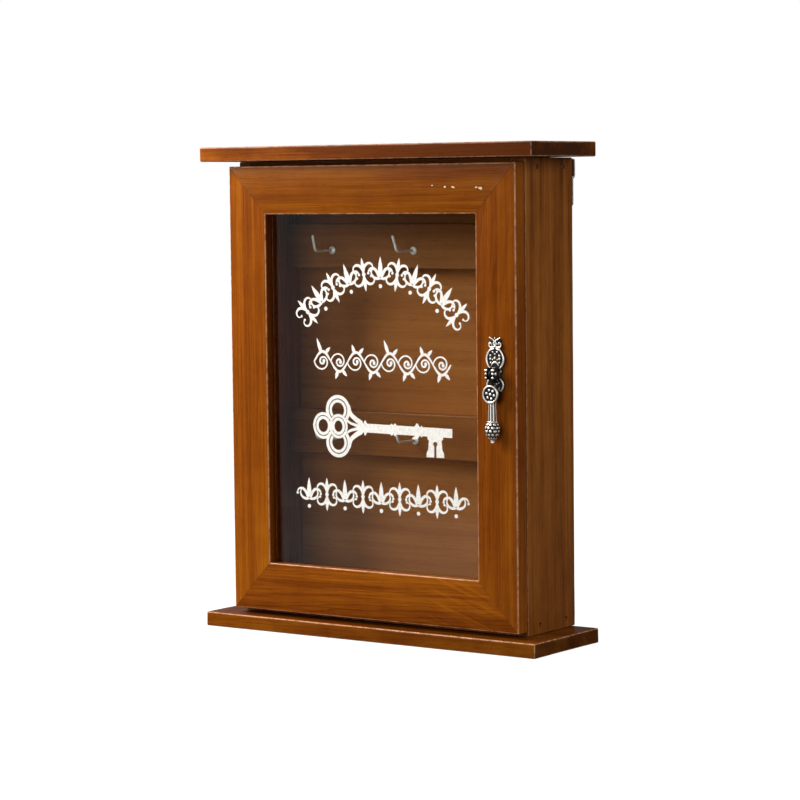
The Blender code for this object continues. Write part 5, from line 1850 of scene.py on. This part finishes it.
# --- Studio ---
@dataclass
class Studio:
    """Pale floor, soft lights and the camera.

    Attributes:
        eye: Where the camera stands.
        yaw, pitch, roll: How far it turns left, looks down and rolls, in radians.
        lens: Focal length in millimetres, on a 36 mm sensor.
        dim: Strength of the surrounding light on the object.
        lift: How much whiter than lit the floor shows to the camera.
        veil: Strength of the grey card that the glass mirrors.
        aim: The middle of the cabinet, where the lamps point.
    """

    eye: Triple = (1.06499, -1.4966, 0.29288)
    yaw: float = 0.6169
    pitch: float = 0.0755
    roll: float = -0.0107
    lens: float = 127.0
    dim: float = 0.12
    lift: float = 0.985
    veil: float = 0.40
    aim: Triple = (0.0, 0.0, 0.16)

    @staticmethod
    def stood(name: str, data: bpy.types.ID, axes: Array | tuple = np.eye(3),
              place: Array | Triple = (0.0, 0.0, 0.0)) -> bpy.types.Object:
        """A new object whose local axes point three ways from a place."""
        item = bpy.data.objects.new(name, data)
        turn = np.eye(4)
        turn[:3, :3] = np.stack(axes, -1)
        turn[:3, 3] = place
        item.matrix_world = Matrix(turn.tolist())
        bpy.context.scene.collection.objects.link(item)
        return item

    @staticmethod
    def screen(name: str, corners: list, graph: Graph) -> bpy.types.Object:
        """A staged four-cornered sheet in a graph's material."""
        mesh = bpy.data.meshes.new(name)
        mesh.from_pydata(corners, [], [(0, 1, 2, 3)])
        mesh.materials.append(graph.owner)
        item = Studio.stood(name, mesh)
        return item

    def camera(self) -> None:
        """A camera without depth of field."""
        ahead = np.array([-math.sin(self.yaw) * math.cos(self.pitch),
                          math.cos(self.yaw) * math.cos(self.pitch), -math.sin(self.pitch)])
        level = np.array([math.cos(self.yaw), math.sin(self.yaw), 0.0])
        upward = np.cross(level, ahead)
        right = level * math.cos(self.roll) + upward * math.sin(self.roll)
        top = upward * math.cos(self.roll) - level * math.sin(self.roll)
        data = bpy.data.cameras.new("camera")
        data.lens, data.sensor_width = self.lens, 36.0
        data.clip_start, data.clip_end = 0.05, 400.0
        bpy.context.scene.camera = self.stood("camera", data, (right, top, -ahead), self.eye)

    @staticmethod
    def seen(graph: Graph) -> Socket:
        """1 for rays from the camera and for those that went straight through the pane."""
        path = graph.node("ShaderNodeLightPath", {}).outputs
        straight = graph.maths("LESS_THAN", path["Ray Depth"], 2.5)
        direct = graph.times(path["Is Transmission Ray"], straight)
        return graph.maths("MAXIMUM", path["Is Camera Ray"], direct)

    def floor(self) -> None:
        """A large, plain, pale floor just under the cabinet."""
        graph = Graph("pale_floor")
        glow = graph.times(self.seen(graph), self.lift)
        graph.shade(Base_Color=(0.16, 0.16, 0.16, 1.0), Roughness=0.9, Specular_IOR_Level=0.0)
        graph.shade(Emission_Color=WHITE, Emission_Strength=glow)
        reach, under = 150.0, -0.0002
        self.screen("floor", [(-reach, -reach, under), (reach, -reach, under),
                              (reach, reach, under), (-reach, reach, under)], graph)

    def card(self) -> None:
        """A dim grey card at the left, whose reflection fades across the glass."""
        graph = Graph("grey_card")
        across = graph.maths("DIVIDE", graph.maths("SUBTRACT", graph.axis(0), -0.54), 0.22)
        fade = graph.ramp(across, [(0.0, 1.0), (1.0, 0.0)], True)
        path = graph.node("ShaderNodeLightPath", {})
        glow = graph.times(fade, path.outputs["Is Glossy Ray"])
        graph.shade(Base_Color=(0.0, 0.0, 0.0, 1.0), Roughness=1.0, Specular_IOR_Level=0.0)
        graph.shade(Emission_Color=(0.94, 0.98, 1.0, 1.0),
                    Emission_Strength=graph.times(glow, self.veil))
        y, left, right, low, high = -0.60, -0.80, -0.26, 0.0, 0.50
        item = self.screen("grey_card", [(left, y, high), (right, y, high), (right, y, low),
                                         (left, y, low)], graph)
        item.visible_shadow = item.visible_diffuse = item.visible_transmission = False
        item.visible_camera = False

    def world(self) -> None:
        """A white surround that lights less than it shows."""
        graph = Graph("studio", world=True)
        bpy.context.scene.world = graph.owner
        inputs = {0: self.seen(graph), 1: 1.0 - self.dim, 2: self.dim}
        glow = graph.node("ShaderNodeMath", inputs, operation="MULTIPLY_ADD").outputs[0]
        graph.shade(Color=WHITE, Strength=glow)

    def lamp(self, name: str, direction: Triple, distance: float,
             size: float, radiance: float,
             tint: Triple = (1.0, 1.0, 1.0)) -> None:
        """A square soft light that faces the cabinet's middle.

        Args:
            name: Its name.
            direction, distance: Where it stands, as seen from the cabinet.
            size: Its width.
            radiance: How bright its face is; its power is pi x size^2 x that.
            tint: Its colour.
        """
        data = bpy.data.lights.new(name, "AREA")
        data.shape, data.size, data.color = "SQUARE", size, tint
        data.energy = math.pi * size ** 2 * radiance
        out = unit(direction)
        across = unit(np.cross(Z, out))
        self.stood(name, data, (across, np.cross(out, across), out), self.aim + out * distance)

    def build(self) -> None:
        """Set the stage."""
        bpy.context.scene.view_settings.view_transform = "Standard"
        self.camera()
        self.floor()
        self.card()
        self.world()
        self.lamp("key", (-0.62, -0.52, 0.59), 0.85, 0.5, 12.8, (1.0, 0.97, 0.93))
        self.lamp("front", (0.10, -0.98, 0.18), 2.0, 1.1, 3.3, (1.0, 0.98, 0.95))
        self.lamp("fill", (0.90, 0.30, 0.32), 2.2, 1.2, 4.5, (1.0, 0.99, 0.97))
        self.lamp("crown", (-0.577, -0.067, 0.805), 1.7, 0.3, 26.0)
        self.lamp("rim", (-0.813, 0.577, 0.02), 1.6, 0.5, 4.5)


def main() -> None:
    """Build the cabinet's looks sub-assembly by sub-assembly."""
    logging.basicConfig(level=logging.INFO, format="%(name)s: %(message)s")
    Studio().build()
    metals = Metals()
    Case().build(metals)
    KeyRails().build(metals)
    Door().build()
    Hinges().build(metals)
    Catch().build(metals)
    DropHandle().build(metals)
    WallHangers().build(metals)
    GlassPrint().build()


if __name__ == "__main__":
    main()
